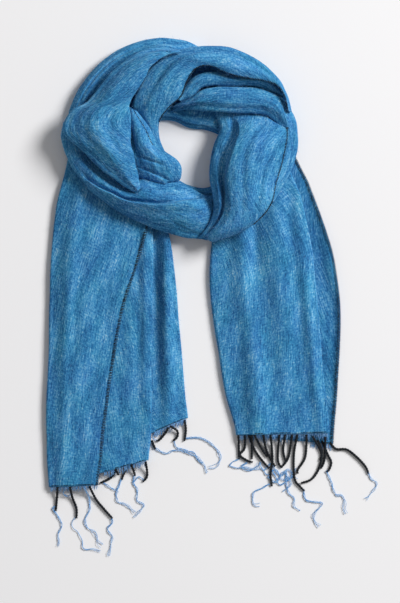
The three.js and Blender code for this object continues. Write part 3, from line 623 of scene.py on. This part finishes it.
def white_room(strength):
    world = bpy.data.worlds.new("white_room")
    world.use_nodes = True
    sky = world.node_tree.nodes["Background"]
    sky.inputs["Color"].default_value = (1, 1, 1, 1)
    sky.inputs["Strength"].default_value = strength
    bpy.context.scene.world = world


# Shapes

def rows_at(rows, shares):
    """Catmull-Rom through the rows of a table at shares of its length"""
    rows = np.asarray(rows, dtype=float)
    place = np.clip(np.asarray(shares, dtype=float), 0, 1) * (len(rows) - 1)
    first = np.minimum(place.astype(int), len(rows) - 2)
    u = (place - first)[:, None]
    a, b, c, d = (rows[np.clip(first + step, 0, len(rows) - 1)] for step in (-1, 0, 1, 2))
    slopes = (c - a) / 2 * u + (a - 2.5 * b + 2 * c - 0.5 * d) * u ** 2
    return b + slopes + (1.5 * (b - c) + 0.5 * (d - a)) * u ** 3


def smooth(value):
    value = np.clip(value, 0, 1)
    return value * value * (3 - 2 * value)


def fold_depth(folds, s, t, width):
    """Depth of the folds across a section, each on the parabola through its three places"""
    depth = np.zeros_like(t)
    for s0, t0, s1, t1, s2, t2, deep, wide in folds:
        if not s0 < s < s2:
            continue
        place = (t0 * (s - s1) * (s - s2) / ((s0 - s1) * (s0 - s2))
                 + t1 * (s - s0) * (s - s2) / ((s1 - s0) * (s1 - s2))
                 + t2 * (s - s0) * (s - s1) / ((s2 - s0) * (s2 - s1)))
        fade = math.sin(math.pi * (s - s0) / (s2 - s0)) ** FOLD_FADE
        depth += deep * fade * np.exp(-((t - place) * width / wide) ** 2)
    return depth


def lip_rise(lips, s, t, width):
    """Rise of the pleats across a section: steep at the edge, falling off slowly behind it"""
    rise = np.zeros_like(t)
    for high, reach, edge in lips:
        line = np.array(edge)
        if not line[0, 0] < s < line[-1, 0]:
            continue
        place = np.interp(s, line[:, 0], line[:, 1])
        share = (s - line[0, 0]) / (line[-1, 0] - line[0, 0])
        fade = abs(high) * math.sin(math.pi * share) ** LIP_FADE
        inside = (t - place) * width * math.copysign(1, high)
        top = np.exp(-np.maximum(inside, 0) / reach) * smooth(inside / LIP_EDGE + 0.5)
        gap = LIP_GAP * np.exp(-(np.minimum(inside, 0) / LIP_GAP_WIDTH) ** 2) * (inside < 0)
        rise += fade * (top - gap)
    return rise


def roll(low, high, radius):
    """Half an ellipse from the underside round to the top, as distances and heights"""
    angle = np.radians(np.linspace(-90, 90, ROLL_STEPS + 1)[:-1])
    tall = (high - low) / 2
    return radius * (1 - np.cos(angle)), low + tall + tall * np.sin(angle)


def cross_section(stretch, section, s):
    """Distances from the outer edge, and heights, from the end of the outer flap to the inner one's"""
    ox, oy, ix, iy, foot, lip, crown, rim, heel = section
    width = math.hypot(ix - ox, iy - oy)
    outer = min(stretch["outer_roll"], width * ROLL_SHARE)
    inner = min(stretch["inner_roll"], width * ROLL_SHARE)
    flap = min(FLAP, (width - outer - inner) * FLAP_SHARE)
    places, heights = [], []
    if outer > 0:
        out, up = roll(foot, lip, outer)
        places += [np.linspace(outer + flap, outer, FLAP_STEPS + 1)[:-1], out]
        heights += [np.full(FLAP_STEPS, foot), up]
    t = np.linspace(0, 1, stretch["steps"])
    w = outer + (width - outer - inner) * t
    at = stretch["crown_at"]
    arch = np.where(t < at, lip + (crown - lip) * np.sin(np.pi / 2 * np.minimum(t / at, 1)),
                    rim + (crown - rim) * np.cos(np.pi / 2 * np.maximum(t - at, 0) / (1 - at)))
    t = w / width
    places.append(w)
    heights.append(arch - fold_depth(stretch["folds"], s, t, width)
                   + lip_rise(stretch.get("lips", ()), s, t, width))
    if inner > 0:
        out, up = roll(heel, rim, inner)
        back = np.linspace(width - inner - flap, width - inner, FLAP_STEPS + 1)[:-1]
        places += [width - out[::-1], back[::-1]]
        heights += [up[::-1], np.full(FLAP_STEPS, heel)]
    return np.concatenate(places), np.concatenate(heights)


def softened(grid, axis, times):
    """Averages each point with its two neighbours along an axis, the ends held"""
    grid = grid.copy()
    for _ in range(times):
        moved = np.moveaxis(grid, axis, 0)
        moved[1:-1] = (moved[:-2] + 2 * moved[1:-1] + moved[2:]) / 4
    return grid


def eased(grid):
    return softened(softened(grid, 0, 2), 1, 2)


def stretch_points(stretch):
    """Grid of a stretch's outer face: a row across the cloth for each station"""
    shares = np.linspace(0, 1, stretch["stations"])
    points = []
    for s, row in zip(shares, rows_at(stretch["sections"], shares)):
        w, z = cross_section(stretch, row, s)
        across = np.array([row[2] - row[0], row[3] - row[1]])
        across /= np.linalg.norm(across)
        points.append(np.column_stack([row[0] + across[0] * w, row[1] + across[1] * w, z]))
    return softened(np.array(points), 1, 2)


def cloth_coordinates(points):
    """Distances over the cloth in millimetres, along it and across it"""
    along = np.linalg.norm(np.diff(points, axis=0), axis=2).mean(axis=1)
    across = np.linalg.norm(np.diff(points, axis=1), axis=2)
    s = np.concatenate([[0], np.cumsum(along)])
    t = np.concatenate([np.zeros((len(points), 1)), np.cumsum(across, axis=1)], axis=1)
    return np.repeat(s[:, None], points.shape[1], axis=1), t


def grid_normals(points):
    lengthwise = np.gradient(points, axis=0)
    crosswise = np.gradient(points, axis=1)
    normals = np.cross(lengthwise, crosswise)
    normals /= np.linalg.norm(normals, axis=2, keepdims=True) + 1e-9
    return normals


def rumpled(points, seed, high, along_mm, across_mm):
    """Small uneven wrinkles, longer along the cloth than across it"""
    s, t = cloth_coordinates(points)
    t = t - t.mean(axis=1, keepdims=True)
    lift = np.empty(s.shape)
    for spot in np.ndindex(s.shape):
        lift[spot] = noise.fractal((s[spot] / along_mm, t[spot] / across_mm, seed), *WRINKLES, 3)
    normals = grid_normals(points)
    if normals[len(points) // 2, points.shape[1] // 2, 2] < 0:
        normals = -normals
    return points + normals * (lift * high)[..., None]


def skin_tree(points):
    rows, columns = points.shape[:2]
    faces = [(i * columns + j, (i + 1) * columns + j, (i + 1) * columns + j + 1, i * columns + j + 1)
             for i in range(rows - 1) for j in range(columns - 1)]
    return BVHTree.FromPolygons([tuple(p) for p in points.reshape(-1, 3)], faces)


UP = Vector((0, 0, 1))
OVER_ALL = 200.0  # height above every piece, from which rays look down
UNDER_ALL = -20.0


def top_face(tree, x, y):
    return tree.ray_cast(Vector((x, y, OVER_ALL)), -UP)[0]


def underside(tree, x, y):
    """Lowest face of a stretch above a place in plan, and its highest one"""
    low = tree.ray_cast(Vector((x, y, UNDER_ALL)), UP)[0]
    if low is None:
        return None, None
    high = top_face(tree, x, y)
    wall = CLOTH if high.z - low.z < CLOTH else 0
    return low.z - wall, high.z


def tucked(points, trees):
    """Presses a stretch below what lies on it, with a soft slope beside each pressed place"""
    drop = np.zeros(points.shape[:2])
    for spot in np.ndindex(drop.shape):
        x, y, z = points[spot]
        for tree in trees:
            low, high = underside(tree, x, y)
            if low is not None and z - CLOTH < high:
                drop[spot] = max(drop[spot], z - (low - GAP))
    spread = drop
    for _ in range(TUCK_REACH):
        spread = np.maximum(drop, eased(spread))
    pressed = points.copy()
    pressed[..., 2] = np.maximum(points[..., 2] - spread, CLOTH + 0.2)
    return pressed


def squeezed(points, trees):
    """Presses all the layers of a tail together where the loop lies on them"""
    own = skin_tree(points)
    share = np.ones(points.shape[:2])
    for spot in np.ndindex(share.shape):
        x, y, z = points[spot]
        top = top_face(own, x, y)
        highest = (top.z if top else z) + CLOTH / 2
        for tree in trees:
            low, _ = underside(tree, x, y)
            if low is not None:
                share[spot] = min(share[spot], (low - GAP) / highest)
    for _ in range(SQUEEZE_REACH):
        share = np.minimum(share, eased(share))
    pressed = points.copy()
    pressed[..., 2] = np.maximum(points[..., 2] * share, CLOTH / 2 + 0.1)
    return pressed


def deselect():
    for thing in bpy.context.selected_objects:
        thing.select_set(False)


def apply_modifiers(piece):
    deselect()
    piece.select_set(True)
    bpy.context.view_layer.objects.active = piece
    for modifier in list(piece.modifiers):
        bpy.ops.object.modifier_apply(modifier=modifier.name)


def vertex_places(mesh):
    places = np.empty(len(mesh.vertices) * 3)
    mesh.vertices.foreach_get("co", places)
    return places.reshape(-1, 3)


def lay(mesh, places, cloth_places):
    """Moves each vertex to its place in millimetres and makes its place on the cloth, in metres along
    and across it, the UV map"""
    mesh.vertices.foreach_set("co", (places * MM).ravel())
    corner = np.empty(len(mesh.loops), dtype=np.int32)
    mesh.loops.foreach_get("vertex_index", corner)
    mesh.uv_layers[0].name = "UVMap"
    mesh.uv_layers[0].data.foreach_set("uv", cloth_places[corner].ravel())
    mesh.update()


def cloth_sheet(name, points, offset):
    """A grid moved to its points, its cloth coordinates shifted by an offset in metres"""
    rows, columns = points.shape[:2]
    deselect()
    bpy.ops.mesh.primitive_grid_add(x_subdivisions=columns - 1, y_subdivisions=rows - 1, size=2)
    piece = bpy.context.object
    piece.name = name
    start = vertex_places(piece.data)
    j = np.rint((start[:, 0] + 1) / 2 * (columns - 1)).astype(int)
    i = np.rint((start[:, 1] + 1) / 2 * (rows - 1)).astype(int)
    s, t = cloth_coordinates(points)
    lay(piece.data, points[i, j], np.stack([s[i, j], t[i, j]], axis=1) * MM + offset)
    return piece


def thickened(piece, side):
    """Gives a sheet its wall: 1 along its normals, -1 against them, 0 to both sides"""
    wall = piece.modifiers.new("wall", "SOLIDIFY")
    wall.thickness = CLOTH * MM
    wall.offset = side
    apply_modifiers(piece)
    bpy.ops.object.shade_smooth()


def faces_up(points):
    """Whether the faces of a sheet's grid look up: they turn the other way round than its normals"""
    return grid_normals(points)[len(points) // 2, points.shape[1] // 2, 2] < 0


def as_cloth(piece, node_name):
    piece.data.materials.append(cloth)
    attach(piece, "root")
    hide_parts(node_name)


def finish_cloth(node_name, points, side, offset):
    piece = cloth_sheet(f"{node_name}_cloth", points, offset)
    thickened(piece, side)
    as_cloth(piece, node_name)


def ring_profile(inner, outer, height):
    """Radii and heights round the ring's section, from its outer side up, over and down the inner side"""
    edge = np.array(RING_EDGE)
    inside = np.column_stack([inner + edge[:, 0], height * edge[:, 1]])
    outside = np.column_stack([outer - edge[:, 0], height * edge[:, 1]])
    return np.concatenate([outside, [[(inner + outer) / 2, height]], inside[::-1]])


def between_layers(spot, height, over, beneath):
    """Squeezes a spot of the ring between the tails below it and the stretches that lie on it"""
    floor, ceiling = 0.0, height
    for tree in beneath:
        hit = top_face(tree, spot[0], spot[1])
        if hit is not None:
            floor = max(floor, hit.z + CLOTH / 2 + 0.3)
    for tree in over:
        low, _ = underside(tree, spot[0], spot[1])
        if low is not None:
            ceiling = min(ceiling, low - GAP)
    return floor + max(ceiling - floor, 1.0) * spot[2] / height


def hidden_ring(over, beneath):
    """The hidden turns, as a ring that starts from a torus and bridges the tails below it"""
    minor = 2 * len(RING_EDGE) + 1
    rows = rows_at([*RING, (360, *RING[0][1:])], np.arange(RING_STATIONS) / RING_STATIONS)
    points = np.empty((RING_STATIONS, minor, 3))
    for k, (angle, inner, outer, height) in enumerate(rows):
        profile = ring_profile(inner, outer, height)
        a = math.radians(angle)
        points[k, :, 0] = RING_CENTRE[0] + profile[:, 0] * math.cos(a)
        points[k, :, 1] = RING_CENTRE[1] + profile[:, 0] * math.sin(a)
        points[k, :, 2] = profile[:, 1]
        for spot in points[k]:
            spot[2] = between_layers(spot, height, over, beneath)
    deselect()
    bpy.ops.mesh.primitive_torus_add(major_segments=RING_STATIONS, minor_segments=minor,
                                     major_radius=2, minor_radius=1)
    piece = bpy.context.object
    piece.name = "hidden_turns_cloth"
    start = vertex_places(piece.data)
    turn = np.arctan2(start[:, 1], start[:, 0]) / (2 * np.pi) % 1
    tilt = np.arctan2(start[:, 2], np.hypot(start[:, 0], start[:, 1]) - 2) / (2 * np.pi) % 1
    i = np.rint(turn * RING_STATIONS).astype(int) % RING_STATIONS
    j = np.rint(tilt * minor).astype(int) % minor
    lay(piece.data, points[i, j], np.stack([rows[i, 0] / 360 * RING_WARP, j * RING_WEFT * MM], axis=1))
    bpy.ops.object.shade_smooth()
    as_cloth(piece, "hidden_turns")
    return piece


def ridge_rise(ridges, level, t, x):
    """Rise of a tail's ridges at the places x of one layer, at a share t of the way to the hem"""
    rise = np.zeros_like(x)
    for at, t0, x0, t1, x1, high, wide in ridges:
        u = (t - t0) / (t1 - t0)
        if level < at or not 0 < u < 1:
            continue
        rise += high * math.sin(math.pi * u) * np.exp(-((x - (x0 + (x1 - x0) * u)) / wide) ** 2)
    return rise


class TailShape:
    """One station of a tail, at a share t of the way to its hem"""

    def __init__(self, tail, t):
        table = np.array(tail["across"])
        index = int(np.clip(np.searchsorted(table[:, 0], t, side="right") - 1, 0, len(table) - 2))
        share = (t - table[index, 0]) / (table[index + 1, 0] - table[index, 0])
        row = rows_at(table, [(index + share) / (len(table) - 1)])[0]
        self.tail, self.t = tail, t
        self.x = {edge[0]: value for edge, value in zip(tail["edges"], row[1:])}
        self.y = {name: top + (hem - top) * t for name, _, top, hem in tail["edges"]}

    def height(self, level, x):
        x = np.asarray(x, dtype=float)
        side, start, fall, reach = self.tail["droop"]
        low, high = min(self.x.values()), max(self.x.values())
        step = LEVEL + (LEVEL_HEM - LEVEL) * self.t
        z = CLOTH / 2 + REST + step * level + ridge_rise(self.tail["ridges"], level, self.t, x)
        if level >= start:
            middle = np.sin(np.pi * np.clip((x - low) / (high - low), 0, 1))
            z = z - fall * (1 - smooth(np.abs(x - self.x[side]) / reach))
            z = z + self.tail["puff"] * middle * (1 - 0.6 * self.t) * level / len(self.tail["edges"])
        return z


def tail_points(tail):
    """Grid of a tail's cloth: a row for each station, through every layer from the first edge on"""
    grid = []
    edges = tail["edges"]
    share = np.linspace(0, 1, LAYER_STEPS)
    bend = np.radians(np.linspace(-BEND_ANGLE, BEND_ANGLE, BEND_STEPS))
    for t in np.linspace(0, 1, TAIL_STATIONS):
        shape = TailShape(tail, t)
        row = []
        for k, (start, end) in enumerate(zip(edges, edges[1:])):
            x0, x1 = shape.x[start[0]], shape.x[end[0]]
            way = math.copysign(BEND, x1 - x0)
            first = x0 if k == 0 else x0 + way
            last = x1 if k == len(edges) - 2 else x1 - way
            x = first + (last - first) * share
            y = shape.y[start[0]] + (shape.y[end[0]] - shape.y[start[0]]) * share
            row.append(np.column_stack([x, y, shape.height(start[1], x)]))
            if last != x1:
                # The bend into the next layer
                top, bottom = (float(shape.height(edge[1], last)) for edge in (start, end))
                row.append(np.column_stack([
                    last + way * np.cos(bend), np.full(BEND_STEPS, shape.y[end[0]]),
                    (top + bottom) / 2 - (top - bottom) / 2 * np.sin(bend)]))
        grid.append(np.concatenate(row))
    return np.array(grid)


def undulate(points, seed, high):
    """Gentle swells that all the layers of a tail share"""
    moved = points.copy()
    for spot in np.ndindex(points.shape[:2]):
        x, y, z = points[spot]
        lift = noise.fractal((x / SWELL[0], y / SWELL[1], seed), *WRINKLES, 2)
        moved[spot][2] = z + high * lift * min(z / SWELL_FULL, 1)
        moved[spot][0] = x + SWAY_WIDTH * noise.noise((y / SWAY[0], z / SWAY[1], seed + 3))
    return moved


# Cords, threads and stitches

def yarns(name, paths, material, sides):
    """Round yarns: each path is a list of (point, radius) in millimetres. More sides make them rounder."""
    deselect()
    bpy.ops.curve.primitive_nurbs_path_add()
    piece = bpy.context.object
    piece.name = name
    curve = piece.data
    curve.splines.clear()
    curve.dimensions = "3D"
    curve.bevel_depth = MM
    curve.bevel_resolution = sides
    curve.use_fill_caps = True
    for path in paths:
        spline = curve.splines.new("POLY")
        spline.points.add(len(path) - 1)
        for point, (place, radius) in zip(spline.points, path):
            point.co = (place[0] * MM, place[1] * MM, place[2] * MM, 1)
            point.radius = radius
    bpy.ops.object.convert(target="MESH")
    piece = bpy.context.object
    bpy.ops.object.shade_smooth()
    piece.data.materials.append(material)
    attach(piece, "root")
    return piece


def centre_line(points, root_height, step, radius):
    """Smooth line through the points, from the height of its root down to the surface"""
    fine = rows_at(points, np.linspace(0, 1, 12 * len(points)))
    lengths = np.concatenate([[0], np.cumsum(np.linalg.norm(np.diff(fine, axis=0), axis=1))])
    places = np.linspace(0, lengths[-1], max(int(lengths[-1] / step), 4))
    line = np.column_stack([np.interp(places, lengths, fine[:, c]) for c in range(2)])
    rest = FLOOR + radius
    height = rest + max(root_height - rest, 0) * np.exp(-(places / FALL) ** 2)
    ahead = np.gradient(line, axis=0)
    ahead /= np.linalg.norm(ahead, axis=1, keepdims=True)
    aside = np.column_stack([-ahead[:, 1], ahead[:, 0], np.zeros(len(line))])
    return np.column_stack([line, height]), aside, places


def twisted_cord(points, root_height):
    """Two plies wound round each other, thinner at the cord's end"""
    line, aside, places = centre_line(points, root_height, 1.1, CORD)
    apart, ply = CORD * 0.48, CORD * 0.6
    plies = []
    for phase in (0, math.pi):
        angle = 2 * math.pi * places / PLY_PITCH + phase
        offset = aside * (np.cos(angle) * apart)[:, None]
        offset[:, 2] = np.sin(angle) * apart
        radius = ply * (1 - 0.35 * (places / places[-1]) ** 8)
        plies.append(list(zip(line + offset, radius)))
    return plies


def loose_threads(points, root_height):
    """A few fine threads that wander along one line and part at its end"""
    line, aside, places = centre_line(points, root_height, 1.6, THREAD)
    threads = []
    for _ in range(3):
        phase, part = random.uniform(0, 6), random.uniform(-3.5, 3.5)
        along = places / places[-1]
        shift = 1.1 * np.sin(phase + places / 3.4) + part * along ** 3
        shifted = line + aside * shift[:, None]
        shifted[:, 2] += 0.3 + 0.9 * np.abs(np.sin(phase + places / 5))
        threads.append(list(zip(shifted, THREAD * (0.72 - 0.3 * along))))
    return threads


def hem_root(fringe, shape, x):
    """Place on a hem at x, just outside the cloth's edge"""
    hems = {name: hem for name, _, _, hem in shape.tail["edges"]}
    first, second = fringe["edges"]
    share = (x - shape.x[first]) / (shape.x[second] - shape.x[first])
    y = hems[first] + (hems[second] - hems[first]) * share
    return np.array([x, y - SEAM, float(shape.height(fringe["level"], x))])


def root_height(fringe, shape, start):
    """Height of a strand's start: on the hem, or on the surface where it goes on from another strand"""
    hem = hem_root(fringe, shape, start[0])
    return hem[2] if start[1] > hem[1] - 8 else FLOOR


def frayed_ends(fringe, shape, low, high):
    """Short fibres that stick out of the hem, most of them near the shortest length"""
    ends = []
    x = low + 0.6
    while x < high:
        root = hem_root(fringe, shape, x)
        reach = random.triangular(3.5, fringe["fray"], 6)
        lean = random.uniform(-3, 3)
        drop = max(root[2] - 1, 0) * reach / 14
        end = np.array([x + lean, root[1] - reach, max(root[2] - drop, 0.8)])
        middle = (root + end) / 2 + np.array([random.uniform(-1, 1), 0, random.uniform(0, 0.6)])
        ends.append([(root + np.array([0, FRAY_ROOT, 0]), 0.42), (middle, 0.36), (end, 0.18)])
        x += random.uniform(0.45, 1.1)
    return ends


def hem_stitches(fringe, shape, low, high):
    """The last weft, a dark running stitch just inside the hem"""
    stitches = []
    x = low + 1.5
    while x < high - 5:
        stitch = [hem_root(fringe, shape, x + step) + np.array([0, HEM_INSET, CLOTH / 2 + lift])
                  for step, lift in ((0, -0.5), (0.5, 0.1), (3.2, 0.1), (3.7, -0.5))]
        stitches.append([(place, HEM_STITCH) for place in stitch])
        x += random.uniform(4.2, 5)
    return stitches


def fringe_pieces(name, fringe):
    shape = TailShape(TAILS[fringe["tail"]], 1)
    low, high = fringe["start"], fringe["end"]
    cords, threads = [], []
    for points in fringe["cords"]:
        cords += twisted_cord(points, root_height(fringe, shape, points[0]))
    for points in fringe["threads"]:
        threads += loose_threads(points, root_height(fringe, shape, points[0]))
    threads += frayed_ends(fringe, shape, low, high)
    cords += hem_stitches(fringe, shape, low, high)
    cord_piece = yarns(f"cords_{name}", cords, black_yarn, sides=2)
    yarns(f"threads_{name}", threads, blue_yarn, sides=1)
    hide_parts(f"fringe_{name}")


EDGE_COLUMNS = 4  # columns of the grid from an edge to the place that tells which way is inwards

# One stitch. Columns: offset along the edge, distance in from it as a share of the stitch's depth,
# height over the cloth's top, radius.
STITCH = [
    (1.3, 1.0, 0.2, 0.45), (0.9, 0.6, 0.6, 0.66), (0.4, 0.2, 0.55, 0.66),
    (0.0, -0.2, -1.0, 0.62), (-0.3, 0.25, -2.5, 0.5),
]


def overcast_edge(name, points, column, top, depth, first=0.0, last=1.0):
    """Overcast stitches round a raw edge, one slanted yarn after another, between two shares of its
    length. top is the height of the cloth's upper face over the given points, depth how far in the
    stitches reach."""
    edge = points[:, column]
    normals = grid_normals(points)[:, column]
    normals *= np.sign(normals[:, 2].mean())
    inward = points[:, column + (EDGE_COLUMNS if column == 0 else -EDGE_COLUMNS)] - edge
    inward /= np.linalg.norm(inward, axis=1, keepdims=True)
    lengths = np.concatenate([[0], np.cumsum(np.linalg.norm(np.diff(edge, axis=0), axis=1))])

    def at(values, place):
        return np.array([np.interp(place, lengths, values[:, c]) for c in range(3)])

    paths = []
    place = lengths[-1] * first + 1
    while place < lengths[-1] * last - 1:
        reach = depth * random.uniform(0.85, 1.2)
        up, into = at(normals, place), at(inward, place)
        path = []
        for offset, share, lift, radius in STITCH:
            spot = at(edge, place + offset) + into * reach * share + up * (lift + top)
            spot[2] = max(spot[2], radius + 0.1)
            path.append((spot, radius))
        paths.append(path)
        place += STITCH_PITCH * random.uniform(0.85, 1.15)
    yarns(name, paths, black_yarn, sides=1)


def nap_fibres(name, sheets, top, covers, count):
    """Brushed fibres on the faces that nothing covers, combed roughly along the warp. top is the
    height of a sheet's face over its points."""
    fields = []
    for points in sheets:
        ups = grid_normals(points) * (-1 if faces_up(points) else 1)
        if top:
            ups *= np.where(ups[..., 2:] < 0, -1, 1)
        fields.append((points, ups, np.gradient(points, axis=0)))
    sizes = [len(points) * points.shape[1] for points, _, _ in fields]
    paths = []
    while len(paths) < count:
        points, ups, warps = random.choices(fields, sizes)[0]
        i, j = random.randrange(2, len(points) - 2), random.randrange(points.shape[1])
        up = ups[i, j]
        root = points[i, j] + up * top
        hits = [hit.z for hit in (top_face(tree, root[0], root[1]) for tree in covers) if hit]
        if up[2] < 0.02 or max(hits, default=0) > root[2] + NAP_CLEAR:
            continue
        length = NAP_LENGTH * random.uniform(0.5, 1.3)
        comb = warps[i, j] / max(np.linalg.norm(warps[i, j]), 1e-6) * random.choice((-1, 1))
        comb = comb + np.array([random.gauss(0, 0.5) for _ in range(3)])
        comb /= np.linalg.norm(comb)
        middle = root + up * length * 0.3 + comb * length * 0.35
        end = middle + up * length * random.uniform(-0.05, 0.3) + comb * length * 0.5
        end[2] = max(end[2], 0.4)
        paths.append(list(zip((root - up * 0.3, middle, end), NAP_RADII)))
    yarns(name, paths, blue_yarn, sides=0)


# Making

camera_above()
paper_floor()
bpy.context.scene.view_settings.view_transform = "Standard"
white_room(0.28)
soft_light("window_light", place=(5.28, 3.36, 4.88), size=3.3, power=735)

cloth = brushed_cloth()
black_yarn = yarn_material("black_plied_yarn", dark="#0B0E12", light="#2A2F36")
blue_yarn = yarn_material("blue_warp_yarn", dark="#3A80C2", light="#9ECAEE")

flat_skins = {}
for seed, (name, stretch) in enumerate(STRETCHES.items()):
    points = stretch_points(stretch)
    flat_skins[name] = rumpled(points, seed * 7.3, high=1.1, along_mm=46, across_mm=15)

# The winding has no single top: each stretch is pressed under the ones on it in two rounds
skins = flat_skins
for _ in range(2):
    trees = {name: skin_tree(points) for name, points in skins.items()}
    skins = {name: tucked(points, [trees[upper] for upper in LIES_UNDER.get(name, ())])
             for name, points in flat_skins.items()}
trees = {name: skin_tree(points) for name, points in skins.items()}

tails = {}
for seed, (name, tail) in enumerate(TAILS.items()):
    points = undulate(tail_points(tail), seed * 5.1, high=1.6)
    tails[name] = squeezed(points, trees.values())

tail_trees = [skin_tree(points) for points in tails.values()]
ring = hidden_ring(trees.values(), tail_trees)
for k, (name, points) in enumerate(skins.items()):
    side = -1 if faces_up(points) else 1
    finish_cloth(name, points, side, (0.37 * k, 0.21 * k))
for k, (name, points) in enumerate(tails.items()):
    finish_cloth(name, points, 0, (0.9 + 0.7 * k, 1.3))

for name, fringe in FRINGES.items():
    fringe_pieces(name, fringe)

INNER_FOLD_EDGE = -3 - FLAP_STEPS - ROLL_STEPS  # column of its raw edge, beside its inner roll
overcast_edge("selvedge_left_tail", tails["left_tail"], column=0, top=CLOTH / 2, depth=3.4)
overcast_edge("selvedge_right_tail", tails["right_tail"], column=-1, top=CLOTH / 2, depth=3.8)
overcast_edge("selvedge_second_turn", skins["second_turn_top"], column=-1, top=0, depth=1.8, first=0.15)
overcast_edge("selvedge_front_turn", skins["front_turn_right"], column=-1, top=0, depth=1.8,
              first=0.08, last=0.75)
overcast_edge("selvedge_inner_fold", skins["left_inner_fold"], column=INNER_FOLD_EDGE, top=0, depth=2.6,
              last=0.42)

nap_fibres("nap_of_loop", skins.values(), top=0, covers=trees.values(), count=5200)
nap_fibres("nap_of_tails", tails.values(), top=CLOTH / 2, covers=[*trees.values(), *tail_trees],
           count=4200)
